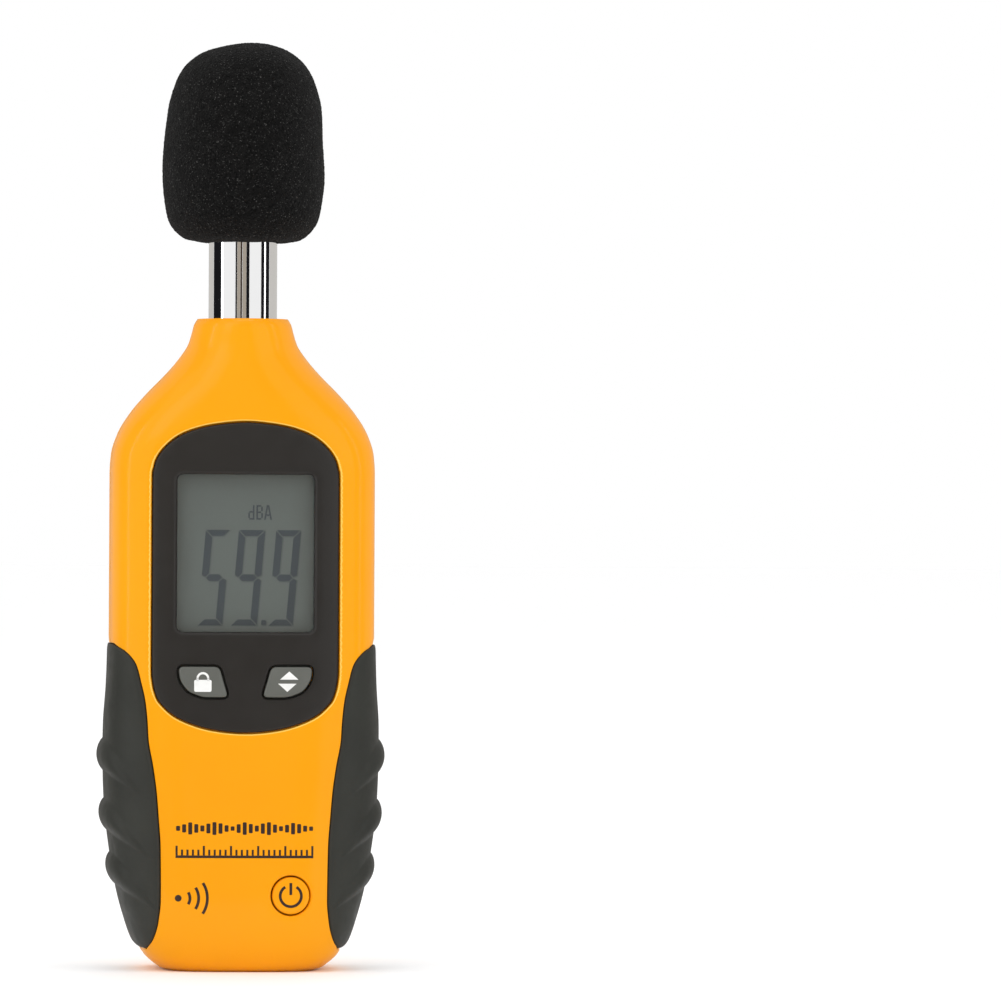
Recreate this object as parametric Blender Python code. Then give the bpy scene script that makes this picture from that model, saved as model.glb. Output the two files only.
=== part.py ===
"""Hand-held sound level meter with a foam windscreen, a clip-on battery door and three keys.

The meter stands on its base: +Z runs up the body to the microphone, the display faces -Y and the battery door faces
+Y. The origin is in the middle of the base. All the driving sizes below are in millimetres and are turned into metres
when a mesh is made.
"""

import math

import bmesh
import bpy
import numpy as np

MM = 0.001
GAP = 0.30  # space between neighbouring pieces
SEAM = 0.15  # each casing half stops this far from the parting plane y = 0

# --- casing: height up the body against half width, front depth, rear depth and section exponent ---
HALF_WIDTH = [(0, 13.8), (0.35, 14.9), (1.1, 16.0), (3.0, 18.05), (5.5, 19.3), (10, 20.5), (15, 21.65), (20, 22.5),
              (30, 23.75), (40, 24.3), (48, 24.5), (92, 24.5), (95.6, 24.25), (99.3, 23.1), (103, 20.9), (106.7, 17.8),
              (110.4, 14.2), (113.2, 11.85), (115.9, 10.1), (118, 9.45), (119.8, 8.95), (120.6, 8.4)]
FRONT_DEPTH = [(0, 10.4), (0.35, 11.2), (1.1, 12.1), (3.0, 13.3), (6, 14.2), (10, 14.7), (16, 15.0), (88, 15.0),
               (96, 14.8), (101, 14.2), (106, 13.0), (111, 11.4), (115.5, 10.0), (118, 9.5), (119.8, 9.0), (120.6, 8.45)]
REAR_DEPTH = [(0, 10.6), (0.35, 11.4), (1.1, 12.3), (3.0, 13.5), (6, 14.4), (10, 14.85), (16, 15.15), (92, 15.15),
              (97, 14.9), (102, 14.1), (106.5, 12.8), (111, 11.3), (115.5, 10.0), (118, 9.5), (119.8, 9.0),
              (120.6, 8.45)]
EXPONENT = [(0, 3.2), (10, 4.0), (90, 4.0), (100, 3.5), (108, 2.7), (115, 2.15), (120.6, 2.0)]
WALL = 2.4
BODY_TOP = 120.6
CAVITY_BOTTOM, CAVITY_TOP = 2.4, 111.5

# --- grips: height against the distance of the inner edge from the centre line ---
GRIP_EDGE_FRONT = [(4.1, 17.95), (5.9, 16.8), (9.2, 15.9), (13.5, 15.5), (22.9, 15.6), (28.8, 16.0), (33.5, 16.4),
                   (38.1, 17.05), (42.9, 17.9), (46.2, 18.1), (49.9, 18.5), (53.5, 19.3), (56.7, 20.2), (59.0, 21.9),
                   (60.4, 23.9)]
GRIP_EDGE_REAR = [(4.1, 18.0), (5.9, 17.35), (9.2, 17.05), (13.5, 17.0), (22.9, 17.05), (28.8, 17.2), (33.5, 17.45),
                  (38.1, 17.8), (42.9, 18.25), (46.2, 18.6), (49.9, 19.05), (53.5, 19.6), (56.7, 20.4), (59.0, 22.0),
                  (60.4, 23.9)]
GRIP_BOTTOM, GRIP_TOP = 4.3, 60.3
GRIP_PROUD = [(4.3, 0.75), (8.5, 1.2), (13, 1.45), (22, 1.6), (30, 1.6), (36, 1.5), (45.6, 1.15), (53, 0.5), (60.3, 0.12)]
GRIP_SET_IN = 0.9
RIDGES = (40.0, 28.9, 18.9)  # heights of the three finger ridges at the side
RIDGE_HEIGHT = 1.0

# --- display panel ---
BEZEL_HALF = [(0, 101.3), (4.5, 100.95), (8.5, 100.2), (12, 98.9), (14.6, 97.0), (16.3, 94.8), (17.0, 92.6),
              (17.2, 90), (17.2, 73), (17.2, 57), (17.05, 53.8), (16.5, 51.3), (15.5, 49.5), (12.5, 47.0), (7, 45.0),
              (0, 44.25)]
BEZEL_SET_IN, BEZEL_THICK = 0.25, 1.1
WINDOW = (-12.6, 12.6, 62.75, 91.7)

# --- keys: the hold key's outline; the max/min key mirrors it ---
KEY = [(-12.3, 56.1), (-12.05, 56.35), (-5.1, 56.35), (-4.75, 56.15), (-3.2, 51.1), (-3.4, 50.75), (-8.3, 50.78),
       (-9.8, 51.25), (-11.0, 52.25), (-11.8, 53.4), (-12.2, 54.6)]
KEY_TRAVEL = 0.5
POWER_X, POWER_Z, POWER_R = 8.56, 14.3, 3.45

# --- battery bay, door and battery ---
BAY_HALF_WIDTH, BAY_BOTTOM, BAY_TOP, BAY_FLOOR = 13.7, 11.5, 69.5, -4.7
BAY_WALL = 1.25
DOOR = (-15.5, 15.5, 9.8, 74.4, 3.2)
DOOR_SET_IN, DOOR_THICK = 0.05, 1.5
DOOR_PIVOT_Y, DOOR_PIVOT_Z = 14.2, 10.4
BATTERY = (-13.0, 13.0, -4.3, 12.5, 13.2, 59.7)
TERMINAL_X = 6.35

# --- inside ---
BOARD_FRONT, BOARD_BACK = -7.7, -6.3
BOARD_SCREWS = ((-17.8, 86.0), (17.8, 86.0), (-17.2, 42.0), (17.2, 42.0))
CASE_SCREWS_TOP = ((-14.3, 103.3), (14.3, 103.3))
CASE_SCREW_BAY = (-8.6, 15.5)

# --- microphone ---
TUBE_R, TUBE_BORE_R = 6.35, 5.6
TUBE_BOTTOM, TUBE_TOP = 104.0, 160.6
FOAM_BORE_R, FOAM_BORE_TOP = 6.65, 161.4
FOAM = [(8.8, 134.9), (11.4, 135.7), (13.8, 138.4), (14.8, 142.6), (15.1, 148), (14.6, 157.6), (13.8, 162.2),
        (11.9, 167.0), (8.6, 170.2), (4.4, 171.7)]
FOAM_TOP = 172.0

# --- tripod bush ---
BUSH_Z, BUSH_R, BUSH_BORE_R, BUSH_BACK = 95.5, 4.3, 3.2, 14.95


def clear_scene():
    for obj in list(bpy.data.objects):
        bpy.data.objects.remove(obj, do_unlink=True)


def curve_through(stations):
    """A smooth curve that never overshoots its stations (monotone cubic)."""
    xs = np.array([s[0] for s in stations], float)
    ys = np.array([s[1] for s in stations], float)
    h = np.diff(xs)
    slope = np.diff(ys) / h
    m = np.zeros(len(xs))
    m[0], m[-1] = slope[0], slope[-1]
    for i in range(1, len(xs) - 1):
        if slope[i - 1] * slope[i] > 0:
            w1, w2 = 2 * h[i] + h[i - 1], h[i] + 2 * h[i - 1]
            m[i] = (w1 + w2) / (w1 / slope[i - 1] + w2 / slope[i])

    def at(x):
        x = min(max(x, xs[0]), xs[-1])
        i = min(int(np.searchsorted(xs, x, side="right")) - 1, len(h) - 1)
        t = (x - xs[i]) / h[i]
        return float((2 * t**3 - 3 * t**2 + 1) * ys[i] + (t**3 - 2 * t**2 + t) * h[i] * m[i]
                     + (-2 * t**3 + 3 * t**2) * ys[i + 1] + (t**3 - t**2) * h[i] * m[i + 1])

    return at


half_width = curve_through(HALF_WIDTH)
depth_of = {-1: curve_through(FRONT_DEPTH), 1: curve_through(REAR_DEPTH)}
exponent = curve_through(EXPONENT)
grip_edge = {-1: curve_through(GRIP_EDGE_FRONT), 1: curve_through(GRIP_EDGE_REAR)}
grip_proud = curve_through(GRIP_PROUD)


def section(z, side, offset=0.0, dense=160):
    """The casing's half outline at height z, from +x round to -x, pushed out by offset: an array of (x, y)."""
    a, b, n = half_width(z), depth_of[side](z), exponent(z)
    t = np.pi * (1 - np.cos(np.pi * np.linspace(0, 1, dense))) / 2
    c, s = np.cos(t), np.sin(t)
    x = a * np.sign(c) * np.abs(c) ** (2 / n)
    y = side * b * np.abs(s) ** (2 / n)
    if offset:
        # the outline's outward normal comes from the gradient of |x/a|^n + |y/b|^n
        gx = np.sign(x) * np.abs(x / a) ** (n - 1) / a
        gy = side * np.abs(y / b) ** (n - 1) / b
        size = np.hypot(gx, gy)
        x, y = x + offset * gx / size, y + offset * gy / size
    return np.stack([x, y], axis=1)


def evenly(points, count):
    """The same line with count points at equal distances along it."""
    step = np.hypot(*np.diff(points, axis=0).T)
    run = np.concatenate([[0], np.cumsum(step)])
    at = np.linspace(0, run[-1], count)
    return np.stack([np.interp(at, run, points[:, 0]), np.interp(at, run, points[:, 1])], axis=1)


def depth_at(x, z, side, offset=0.0):
    """y of the casing's surface over the point (x, z)."""
    line = section(z, side, offset, 400)
    order = np.argsort(line[:, 0])
    return float(np.interp(x, line[order, 0], line[order, 1]))


def material(name, colour, roughness, metallic=0.0, alpha=1.0):
    found = bpy.data.materials.get(name)
    if found:
        return found
    made = bpy.data.materials.new(name)
    made.use_nodes = True
    shader = made.node_tree.nodes["Principled BSDF"]
    shader.inputs["Base Color"].default_value = (*colour, 1.0)
    shader.inputs["Roughness"].default_value = roughness
    shader.inputs["Metallic"].default_value = metallic
    shader.inputs["Alpha"].default_value = alpha
    made.diffuse_color = (*colour, alpha)
    return made


def make(name, points, faces, mat=None, origin=(0.0, 0.0, 0.0), cutter=False):
    """One object from points in millimetres; its own origin is at origin."""
    mesh = bpy.data.meshes.new(name)
    shift = np.array(origin, float)
    mesh.from_pydata([tuple((np.array(p, float) - shift) * MM) for p in points], [], faces)
    work = bmesh.new()
    work.from_mesh(mesh)
    bmesh.ops.remove_doubles(work, verts=work.verts, dist=1e-7)
    bmesh.ops.recalc_face_normals(work, faces=work.faces)
    work.to_mesh(mesh)
    work.free()
    obj = bpy.data.objects.new(name, mesh)
    bpy.context.collection.objects.link(obj)
    obj.location = tuple(shift * MM)
    if mat:
        obj.data.materials.append(mat)
    if cutter:
        obj.hide_render = True
        obj.display_type = "WIRE"
    return obj


def combine(obj, other, operation):
    """Boolean with another object, which is used up. The two shells have too many near-tangent cuts for EXACT."""
    bpy.context.view_layer.update()
    step = obj.modifiers.new("shape", "BOOLEAN")
    step.operation = operation
    step.solver = "MANIFOLD" if obj.name in ("front_shell", "rear_shell") else "EXACT"
    step.object = other
    graph = bpy.context.evaluated_depsgraph_get()
    graph.update()
    mesh = bpy.data.meshes.new_from_object(obj.evaluated_get(graph))
    obj.modifiers.remove(step)
    old, obj.data = obj.data, mesh
    bpy.data.meshes.remove(old)
    bpy.data.objects.remove(other, do_unlink=True)
    return obj


def cut(obj, *others):
    for other in others:
        combine(obj, other, "DIFFERENCE")
    return obj


def join(obj, *others):
    for other in others:
        combine(obj, other, "UNION")
    return obj


def loft(name, rings, mat=None, cutter=False):
    """A closed body through rings of equal length, with flat ends."""
    count = len(rings[0])
    points = [p for ring in rings for p in ring]
    faces = []
    for r in range(len(rings) - 1):
        for i in range(count):
            j = (i + 1) % count
            a, b = r * count, (r + 1) * count
            faces.append((a + i, a + j, b + j, b + i))
    faces.append(tuple(range(count))[::-1])
    faces.append(tuple((len(rings) - 1) * count + i for i in range(count)))
    return make(name, points, faces, mat, cutter=cutter)


def casing_solid(name, side, offset, heights, count, seam, mat=None, cutter=True):
    """Half of the casing's outer form, pushed out by offset, closed by the plane y = seam."""
    rings = []
    for z in heights:
        line = section(z, side, offset)
        line = line[line[:, 1] * side > seam * side] if (seam * side) >= 0 else line
        line = evenly(line, count)
        if (seam * side) >= 0:
            ring = [(x, y, z) for x, y in line]
            ring[0] = (ring[0][0], seam, z)
            ring[-1] = (ring[-1][0], seam, z)
        else:
            ring = [(line[0][0], seam, z)] + [(x, y, z) for x, y in line] + [(line[-1][0], seam, z)]
        rings.append(ring)
    return loft(name, rings, mat, cutter=cutter)


def block(name, x0, x1, y0, y1, z0, z1, mat=None, origin=(0, 0, 0), cutter=False):
    points = [(x, y, z) for z in (z0, z1) for y in (y0, y1) for x in (x0, x1)]
    faces = [(0, 2, 3, 1), (4, 5, 7, 6), (0, 1, 5, 4), (2, 6, 7, 3), (0, 4, 6, 2), (1, 3, 7, 5)]
    return make(name, points, faces, mat, origin, cutter)


def plate(name, outline, y0, y1, mat=None, origin=(0, 0, 0), cutter=False):
    """An outline of (x, z) points extruded from y0 to y1."""
    n = len(outline)
    points = [(x, y0, z) for x, z in outline] + [(x, y1, z) for x, z in outline]
    faces = [(i, (i + 1) % n, n + (i + 1) % n, n + i) for i in range(n)]
    faces += [tuple(range(n))[::-1], tuple(range(n, 2 * n))]
    return make(name, points, faces, mat, origin, cutter)


def slab(name, outline, z0, z1, mat=None, cutter=False):
    """An outline of (x, y) points extruded from z0 to z1."""
    n = len(outline)
    points = [(x, y, z0) for x, y in outline] + [(x, y, z1) for x, y in outline]
    faces = [(i, (i + 1) % n, n + (i + 1) % n, n + i) for i in range(n)]
    faces += [tuple(range(n))[::-1], tuple(range(n, 2 * n))]
    return make(name, points, faces, mat, cutter=cutter)


def circle(cx, cz, r, count, turn=0.0):
    return [(cx + r * math.cos(2 * math.pi * i / count + turn), cz + r * math.sin(2 * math.pi * i / count + turn))
            for i in range(count)]


def rounded(x0, x1, z0, z1, r, count=5):
    """A rectangle with round corners."""
    out = []
    for cx, cz, start in ((x1 - r, z1 - r, 0), (x0 + r, z1 - r, 90), (x0 + r, z0 + r, 180), (x1 - r, z0 + r, 270)):
        for i in range(count):
            angle = math.radians(start + 90 * i / (count - 1))
            out.append((cx + r * math.cos(angle), cz + r * math.sin(angle)))
    return out


def grown(outline, by):
    """An outline pushed out by a distance along its corners' normals."""
    p = np.array(outline, float)
    area = 0.5 * np.sum(p[:, 0] * np.roll(p[:, 1], -1) - np.roll(p[:, 0], -1) * p[:, 1])
    turn = 1 if area > 0 else -1
    before, after = p - np.roll(p, 1, axis=0), np.roll(p, -1, axis=0) - p
    out = []
    for point, e1, e2 in zip(p, before, after):
        n1 = turn * np.array([e1[1], -e1[0]]) / np.hypot(*e1)
        n2 = turn * np.array([e2[1], -e2[0]]) / np.hypot(*e2)
        mid = n1 + n2
        out.append(tuple(point + by * mid / max(0.6, float(mid @ n1))))
    return out


def mirrored(outline):
    return [(-x, z) for x, z in reversed(outline)]


def smooth_outline(half, per=2):
    """A closed outline from its right half, listed from the top of the centre line to the bottom."""
    pts = np.array(half, float)
    pad = np.vstack([[-pts[1][0], pts[1][1]], pts, [-pts[-2][0], pts[-2][1]]])
    right = []
    for i in range(1, len(pad) - 2):
        p0, p1, p2, p3 = pad[i - 1 : i + 3]
        for k in range(per):
            t = k / per
            right.append(tuple(0.5 * (2 * p1 + (p2 - p0) * t + (2 * p0 - 5 * p1 + 4 * p2 - p3) * t**2
                                      + (3 * p1 - p0 - 3 * p2 + p3) * t**3)))
    right.append(tuple(pts[-1]))
    left = [(-x, z) for x, z in right[1:-1]][::-1]
    return [(float(x), float(z)) for x, z in right + left]


def lathe(name, profile, count, axis, centre, mat=None, origin=(0, 0, 0), cutter=False, turn=0.0, squash=None):
    """A profile of (radius, height) points turned about the Z or the Y axis; it may start and end on the axis."""
    points, rows = [], []
    for r, h in profile:
        if r < 1e-6:
            rows.append([len(points)] * count)
            points.append((0.0, 0.0, h))
            continue
        rows.append(list(range(len(points), len(points) + count)))
        for i in range(count):
            a = 2 * math.pi * i / count + turn
            points.append((r * math.cos(a), r * math.sin(a), h))
    closed = profile[0][0] > 1e-6
    faces = []
    for k in range(len(rows) if closed else len(rows) - 1):
        first, second = rows[k], rows[(k + 1) % len(rows)]
        for i in range(count):
            j = (i + 1) % count
            face = []
            for v in (first[i], first[j], second[j], second[i]):
                if v not in face:
                    face.append(v)
            if len(face) > 2:
                faces.append(tuple(face))
    if axis == "Y":
        points = [(x, h, z) for x, z, h in points]
    points = [(x + centre[0], y + centre[1], z + centre[2]) for x, y, z in points]
    return make(name, points, faces, mat, origin, cutter)


def skin(name, outline, side, outer, inner, heights, count, mat=None, origin=(0, 0, 0)):
    """A piece of the casing's own surface inside an outline, between two offsets from it."""
    y0, y1 = (-22, -6) if side < 0 else (6, 22)
    obj = plate(name, outline, y0, y1)
    combine(obj, casing_solid("outer form", side, outer, heights, count, 2.0 * side), "INTERSECT")
    cut(obj, casing_solid("inner form", side, inner, heights, count, 1.0 * side))
    if mat:
        obj.data.materials.clear()
        obj.data.materials.append(mat)
    move_origin(obj, origin)
    return obj


def skin_cutter(outline, side, inner, heights, count):
    y0, y1 = (-22, -6) if side < 0 else (6, 22)
    obj = plate("pocket", outline, y0, y1, cutter=True)
    return cut(obj, casing_solid("pocket floor", side, inner, heights, count, 1.0 * side))


def move_origin(obj, origin):
    shift = np.array(origin, float) * MM - np.array(obj.location)
    if np.abs(shift).max() > 1e-9:
        for v in obj.data.vertices:
            v.co = (v.co[0] - shift[0], v.co[1] - shift[1], v.co[2] - shift[2])
        obj.location = tuple(np.array(origin, float) * MM)
    return obj


def smooth(obj, angle=35):
    obj.data.shade_smooth()
    obj.data.set_sharp_from_angle(angle=math.radians(angle))
    return obj


def grip_patch(name, side, hand, inner, grow, mat=None, cutter=False, rows=15):
    """A grip: a strip of the casing's side between the seam and the grip's inner edge. hand is +1 at +x."""
    z0, z1 = GRIP_BOTTOM - grow, GRIP_TOP + grow
    across = (0, 0.3, 0.5, 0.65, 0.82, 1.0)
    low, high = [], []
    for i in range(rows):
        z = z0 + (z1 - z0) * i / (rows - 1)
        line = section(z, side, 0.0, 600)
        edge = grip_edge[side](min(max(z, GRIP_BOTTOM), GRIP_TOP)) - grow
        edge = min(edge, half_width(z) - 0.15)
        seam = SEAM if not cutter else 0.02
        part = line[(line[:, 0] > edge) & (line[:, 1] * side > seam)]
        run = np.concatenate([[0], np.cumsum(np.hypot(*np.diff(part, axis=0).T))])
        a, b, n = half_width(z), depth_of[side](z), exponent(z)
        for k, w in enumerate(across):
            x = np.interp(w * run[-1], run, part[:, 0])
            y = np.interp(w * run[-1], run, part[:, 1])
            gx, gy = abs(x / a) ** (n - 1) / a, side * abs(y / b) ** (n - 1) / b
            size = math.hypot(gx, gy)
            gx, gy = gx / size, gy / size
            if k == 0:
                gx, gy = 1.0, 0.0
                y = side * seam
            if cutter:
                out = 4.0
            else:
                inward = a - x
                proud = grip_proud(z) * (1 - w) + 0.5 * w
                for ridge in RIDGES:
                    fade = max(0.0, 1 - inward / 7.5)
                    centre = ridge - 0.93 * inward
                    width = 1.1 + 0.9 * fade
                    proud += RIDGE_HEIGHT * fade * math.exp(-(((z - centre) / width) ** 2))
                rim = min(1.0, (1 - w) * run[-1] / 1.4, (z - z0) / 1.6 + 0.05, (z1 - z) / 1.6 + 0.05)
                out = proud * math.sqrt(max(0.0, 1 - (1 - rim) ** 2))
            y_low = y if k else (side * seam if not cutter else -side * 0.6)
            low.append((hand * (x + inner * gx), y_low + inner * gy, z))
            high.append((hand * (x + out * gx), y_low + out * gy, z))
    n = len(across)
    total = len(low)
    faces = []
    for i in range(rows - 1):
        for k in range(n - 1):
            a, b, c, d = i * n + k, i * n + k + 1, (i + 1) * n + k + 1, (i + 1) * n + k
            faces.append((a, b, c, d))
            faces.append((total + d, total + c, total + b, total + a))
    border = [k for k in range(n)] + [(i + 1) * n - 1 for i in range(1, rows)]
    border += [(rows - 1) * n + k for k in range(n - 2, -1, -1)] + [i * n for i in range(rows - 2, 0, -1)]
    for u, v in zip(border, border[1:] + border[:1]):
        faces.append((v, u, total + u, total + v))
    return make(name, low + high, faces, mat, cutter=cutter)


def wire(name, points, radius, mat):
    """A lead along a smooth line through its route's points."""
    route = np.array(points, float)
    pad = np.vstack([2 * route[0] - route[1], route, 2 * route[-1] - route[-2]])
    fine = []
    for i in range(1, len(pad) - 2):
        p0, p1, p2, p3 = pad[i - 1 : i + 3]
        length = np.linalg.norm(p2 - p1)
        steps = max(1, int(round(length / (radius * 4.5))))
        steps = min(steps, 4)
        for k in range(steps):
            t = k / steps
            fine.append(0.5 * (2 * p1 + (p2 - p0) * t + (2 * p0 - 5 * p1 + 4 * p2 - p3) * t**2
                               + (3 * p1 - p0 - 3 * p2 + p3) * t**3))
    fine.append(route[-1])
    data = bpy.data.curves.new(name, "CURVE")
    data.dimensions = "3D"
    line = data.splines.new("POLY")
    line.points.add(len(fine) - 1)
    for point, at in zip(line.points, fine):
        point.co = (*(at * MM), 1.0)
    data.bevel_depth = radius * MM
    data.bevel_resolution = 1
    data.use_fill_caps = True
    obj = bpy.data.objects.new(name, data)
    bpy.context.collection.objects.link(obj)
    data.materials.append(mat)
    return obj


def turned_pin(name, x, z, head_r, head, shank_r, tip, mat, count=10):
    """A screw along Y: head from head[0] to head[1], shank on to tip, with a cross recess as a shallow socket."""
    inward = -1 if tip < head[0] else 1
    y_under, y_top = head
    profile = [(0, tip), (shank_r, tip - inward * 0.9), (shank_r, y_under), (head_r, y_under), (head_r * 0.8, y_top),
               (head_r * 0.36, y_top), (0, y_top - 0.5 * (y_top - y_under))]
    return smooth(lathe(name, profile, count, "Y", (x, 0, z), mat))


def spread(lo, hi, count):
    return [lo + (hi - lo) * i / (count - 1) for i in range(count)]


clear_scene()

ORANGE = material("orange casing", (0.95, 0.40, 0.02), 0.42)
RUBBER = material("dark grip", (0.045, 0.045, 0.04), 0.75)
PANEL = material("display panel", (0.035, 0.032, 0.028), 0.35)
CLEAR = material("clear window", (0.9, 0.92, 0.92), 0.05, alpha=0.35)
LCD = material("lcd", (0.12, 0.13, 0.125), 0.3)
WHITE = material("white plastic", (0.8, 0.8, 0.78), 0.5)
KEY_GREY = material("key", (0.16, 0.165, 0.145), 0.5)
CHROME = material("chrome", (0.8, 0.8, 0.8), 0.08, 1.0)
BLACK = material("black plastic", (0.02, 0.02, 0.02), 0.5)
FOAM_MAT = material("foam", (0.012, 0.012, 0.012), 1.0)
BOARD = material("circuit board", (0.01, 0.13, 0.05), 0.4)
STEEL = material("steel", (0.55, 0.55, 0.55), 0.3, 1.0)
BRASS = material("brass", (0.75, 0.58, 0.32), 0.25, 1.0)
PAPER = material("label", (0.75, 0.75, 0.74), 0.45)
RED = material("red lead", (0.6, 0.01, 0.01), 0.45)
STRIP = material("contact rubber", (0.35, 0.1, 0.12), 0.6)
JACKET = material("battery jacket", (0.05, 0.07, 0.12), 0.35)
ALU = material("can", (0.7, 0.7, 0.72), 0.3, 1.0)

OUTER_HEIGHTS = [0, 0.5, 1.6, 4.0, 9, 16, 28, 44, 92, 97.0, 101, 105, 110.4, 113.5, 116.5, 119.8, 120.6]
INNER_HEIGHTS = [CAVITY_BOTTOM, 5, 10, 20, 40, 91, 99, 105, CAVITY_TOP]
AROUND, AROUND_INSIDE = 17, 11

# ------------------------------------------------------------------ front shell
front = casing_solid("front_shell", -1, 0.0, OUTER_HEIGHTS, AROUND, -SEAM, ORANGE, cutter=False)
room = casing_solid("front room", -1, -WALL, INNER_HEIGHTS, AROUND_INSIDE, 3.0)
for x, z in BOARD_SCREWS:
    cut(room, lathe("boss", [(0, -16), (2.1, -16), (2.1, BOARD_FRONT - GAP), (0, BOARD_FRONT - GAP)], 10, "Y",
                    (x, 0, z), cutter=True))
for x, z in CASE_SCREWS_TOP:
    cut(room, lathe("boss", [(0, -16), (3.0, -16), (3.0, -SEAM), (0, -SEAM)], 12, "Y", (x, 0, z), cutter=True))
x, z = CASE_SCREW_BAY
cut(room, lathe("boss", [(0, -16), (2.6, -16), (2.6, -7.5), (0, -7.5)], 12, "Y", (x, 0, z), cutter=True))
cut(front, room)
bezel_outline = smooth_outline(BEZEL_HALF, 1)
PANEL_HEIGHTS = [40, 58, 92, 97, 101, 105]
cut(front, skin_cutter(grown(bezel_outline, GAP), -1, -(BEZEL_SET_IN + BEZEL_THICK + GAP), PANEL_HEIGHTS, AROUND))
cut(front, plate("display opening", rounded(-14.0, 14.0, 61.2, 93.2, 1.2, 3), -20, -8, cutter=True))
cut(front, plate("hold opening", grown(KEY, 0.5), -20, -8, cutter=True))
cut(front, plate("max/min opening", grown(mirrored(KEY), 0.5), -20, -8, cutter=True))
cut(front, block("display relief", -15.7, 15.7, -11.6, -5, 58.6, 95.6, cutter=True))
cut(front, block("key relief", -14.6, 14.6, -12.35, -9, 48.6, 58.4, cutter=True))
cut(front, plate("power relief", circle(POWER_X, POWER_Z, 5.0, 20), -11.95, -9, cutter=True))
cut(front, plate("power opening", circle(POWER_X, POWER_Z, POWER_R + GAP, 24), -20, -9, cutter=True))
cut(front, lathe("tube hole", [(0, 100), (TUBE_R + GAP, 100), (TUBE_R + GAP, 130), (0, 130)], 24, "Z", (0, 0, 0),
                 cutter=True))
for x, z in BOARD_SCREWS:
    cut(front, lathe("screw hole", [(0, -12.3), (1.4, -12.3), (1.4, -5), (0, -5)], 8, "Y", (x, 0, z), cutter=True))
for x, z in CASE_SCREWS_TOP:
    cut(front, lathe("screw hole", [(0, -8.6), (1.4, -8.6), (1.4, 2), (0, 2)], 8, "Y", (x, 0, z), cutter=True))
x, z = CASE_SCREW_BAY
cut(front, lathe("screw hole", [(0, -12.6), (1.4, -12.6), (1.4, -5), (0, -5)], 8, "Y", (x, 0, z), cutter=True))
for hand in (-1, 1):
    cut(front, grip_patch("grip seat", -1, hand, -(GRIP_SET_IN + 0.4), 0.4, cutter=True))
front.data.materials.clear()
front.data.materials.append(ORANGE)
smooth(front)

# ------------------------------------------------------------------ rear shell with its battery bay
rear = casing_solid("rear_shell", 1, 0.0, OUTER_HEIGHTS, AROUND, SEAM, ORANGE, cutter=False)
bay_out = (-(BAY_HALF_WIDTH + BAY_WALL), BAY_HALF_WIDTH + BAY_WALL)
bay_low, bay_high = BAY_BOTTOM - BAY_WALL, BAY_TOP + BAY_WALL
room = casing_solid("rear room", 1, -WALL, INNER_HEIGHTS, AROUND_INSIDE, -3.0)
cut(room, block("ledge", -19.3, 19.3, 8.5, 16, 7.0, 77.5, cutter=True))
cut(room, block("bay walls", bay_out[0] + 0.05, bay_out[1] - 0.05, -10, 14, bay_low + 0.05, bay_high - 0.05,
                cutter=True))
for x, z in CASE_SCREWS_TOP:
    cut(room, lathe("boss", [(0, SEAM), (3.3, SEAM), (3.3, 16), (0, 16)], 12, "Y", (x, 0, z), cutter=True))
cut(room, lathe("bush boss", [(0, 4.6), (6.4, 4.6), (6.4, 16), (0, 16)], 16, "Y", (0, 0, BUSH_Z), cutter=True))
cut(rear, room)
x, z = CASE_SCREW_BAY
join(rear, block("bay shell", *bay_out, BAY_FLOOR - BAY_WALL, 9.0, bay_low, bay_high, cutter=True))
join(rear, lathe("bay boss", [(0, -7.2), (3.2, -7.2), (3.2, -5.0), (0, -5.0)], 12, "Y", (x, 0, z), cutter=True))
cut(rear, plate("bay", rounded(-BAY_HALF_WIDTH, BAY_HALF_WIDTH, BAY_BOTTOM, BAY_TOP, 1.0, 3), BAY_FLOOR, 20,
                cutter=True))
door_outline = rounded(*DOOR, 6)
DOOR_HEIGHTS = [4, 9, 16, 28, 44, 80]
cut(rear, skin_cutter(grown(door_outline, GAP), 1, -(DOOR_SET_IN + DOOR_THICK + GAP), DOOR_HEIGHTS, AROUND))
for lo, hi in ((-12.4, -5.6), (5.6, 12.4)):
    cut(rear, block("tongue pocket", lo, hi, 10.35, 13.1, 7.5, 12.2, cutter=True))
cut(rear, block("latch slot", -3.4, 3.4, 8.0, 14.5, 71.35, 73.25, cutter=True))
cut(rear, block("lead hole", 2.0, 7.4, -4.4, -0.8, 68, 72, cutter=True))
cut(rear, block("pad window", 12, 16, 2.0, 8.0, 24.0, 46.0, cutter=True))
cut(rear, lathe("bush hole", [(0, 4), (BUSH_R + GAP, 4), (BUSH_R + GAP, 20), (0, 20)], 28, "Y", (0, 0, BUSH_Z),
                cutter=True))
cut(rear, lathe("screw head seat", [(0, -6.2), (2.6, -6.2), (2.6, -3), (0, -3)], 12, "Y", (x, 0, z), cutter=True))
cut(rear, lathe("screw hole", [(0, -9), (1.4, -9), (1.4, -4), (0, -4)], 8, "Y", (x, 0, z), cutter=True))
for x, z in CASE_SCREWS_TOP:
    cut(rear, lathe("screw way", [(0, -1), (1.4, -1), (1.4, 6.5), (2.6, 6.5), (2.6, 20), (0, 20)], 12, "Y", (x, 0, z),
                    cutter=True))
cut(rear, lathe("tube hole", [(0, 100), (TUBE_R + GAP, 100), (TUBE_R + GAP, 130), (0, 130)], 24, "Z", (0, 0, 0),
                cutter=True))
serial_outline = rounded(-15.4, 15.4, 76.6, 82.4, 0.9, 3)
LABEL_HEIGHTS = [70, 80, 90]
cut(rear, skin_cutter(grown(serial_outline, GAP), 1, -0.4, LABEL_HEIGHTS, AROUND))
for hand in (-1, 1):
    cut(rear, grip_patch("grip seat", 1, hand, -(GRIP_SET_IN + 0.4), 0.4, cutter=True))
rear.data.materials.clear()
rear.data.materials.append(ORANGE)
smooth(rear)

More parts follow.
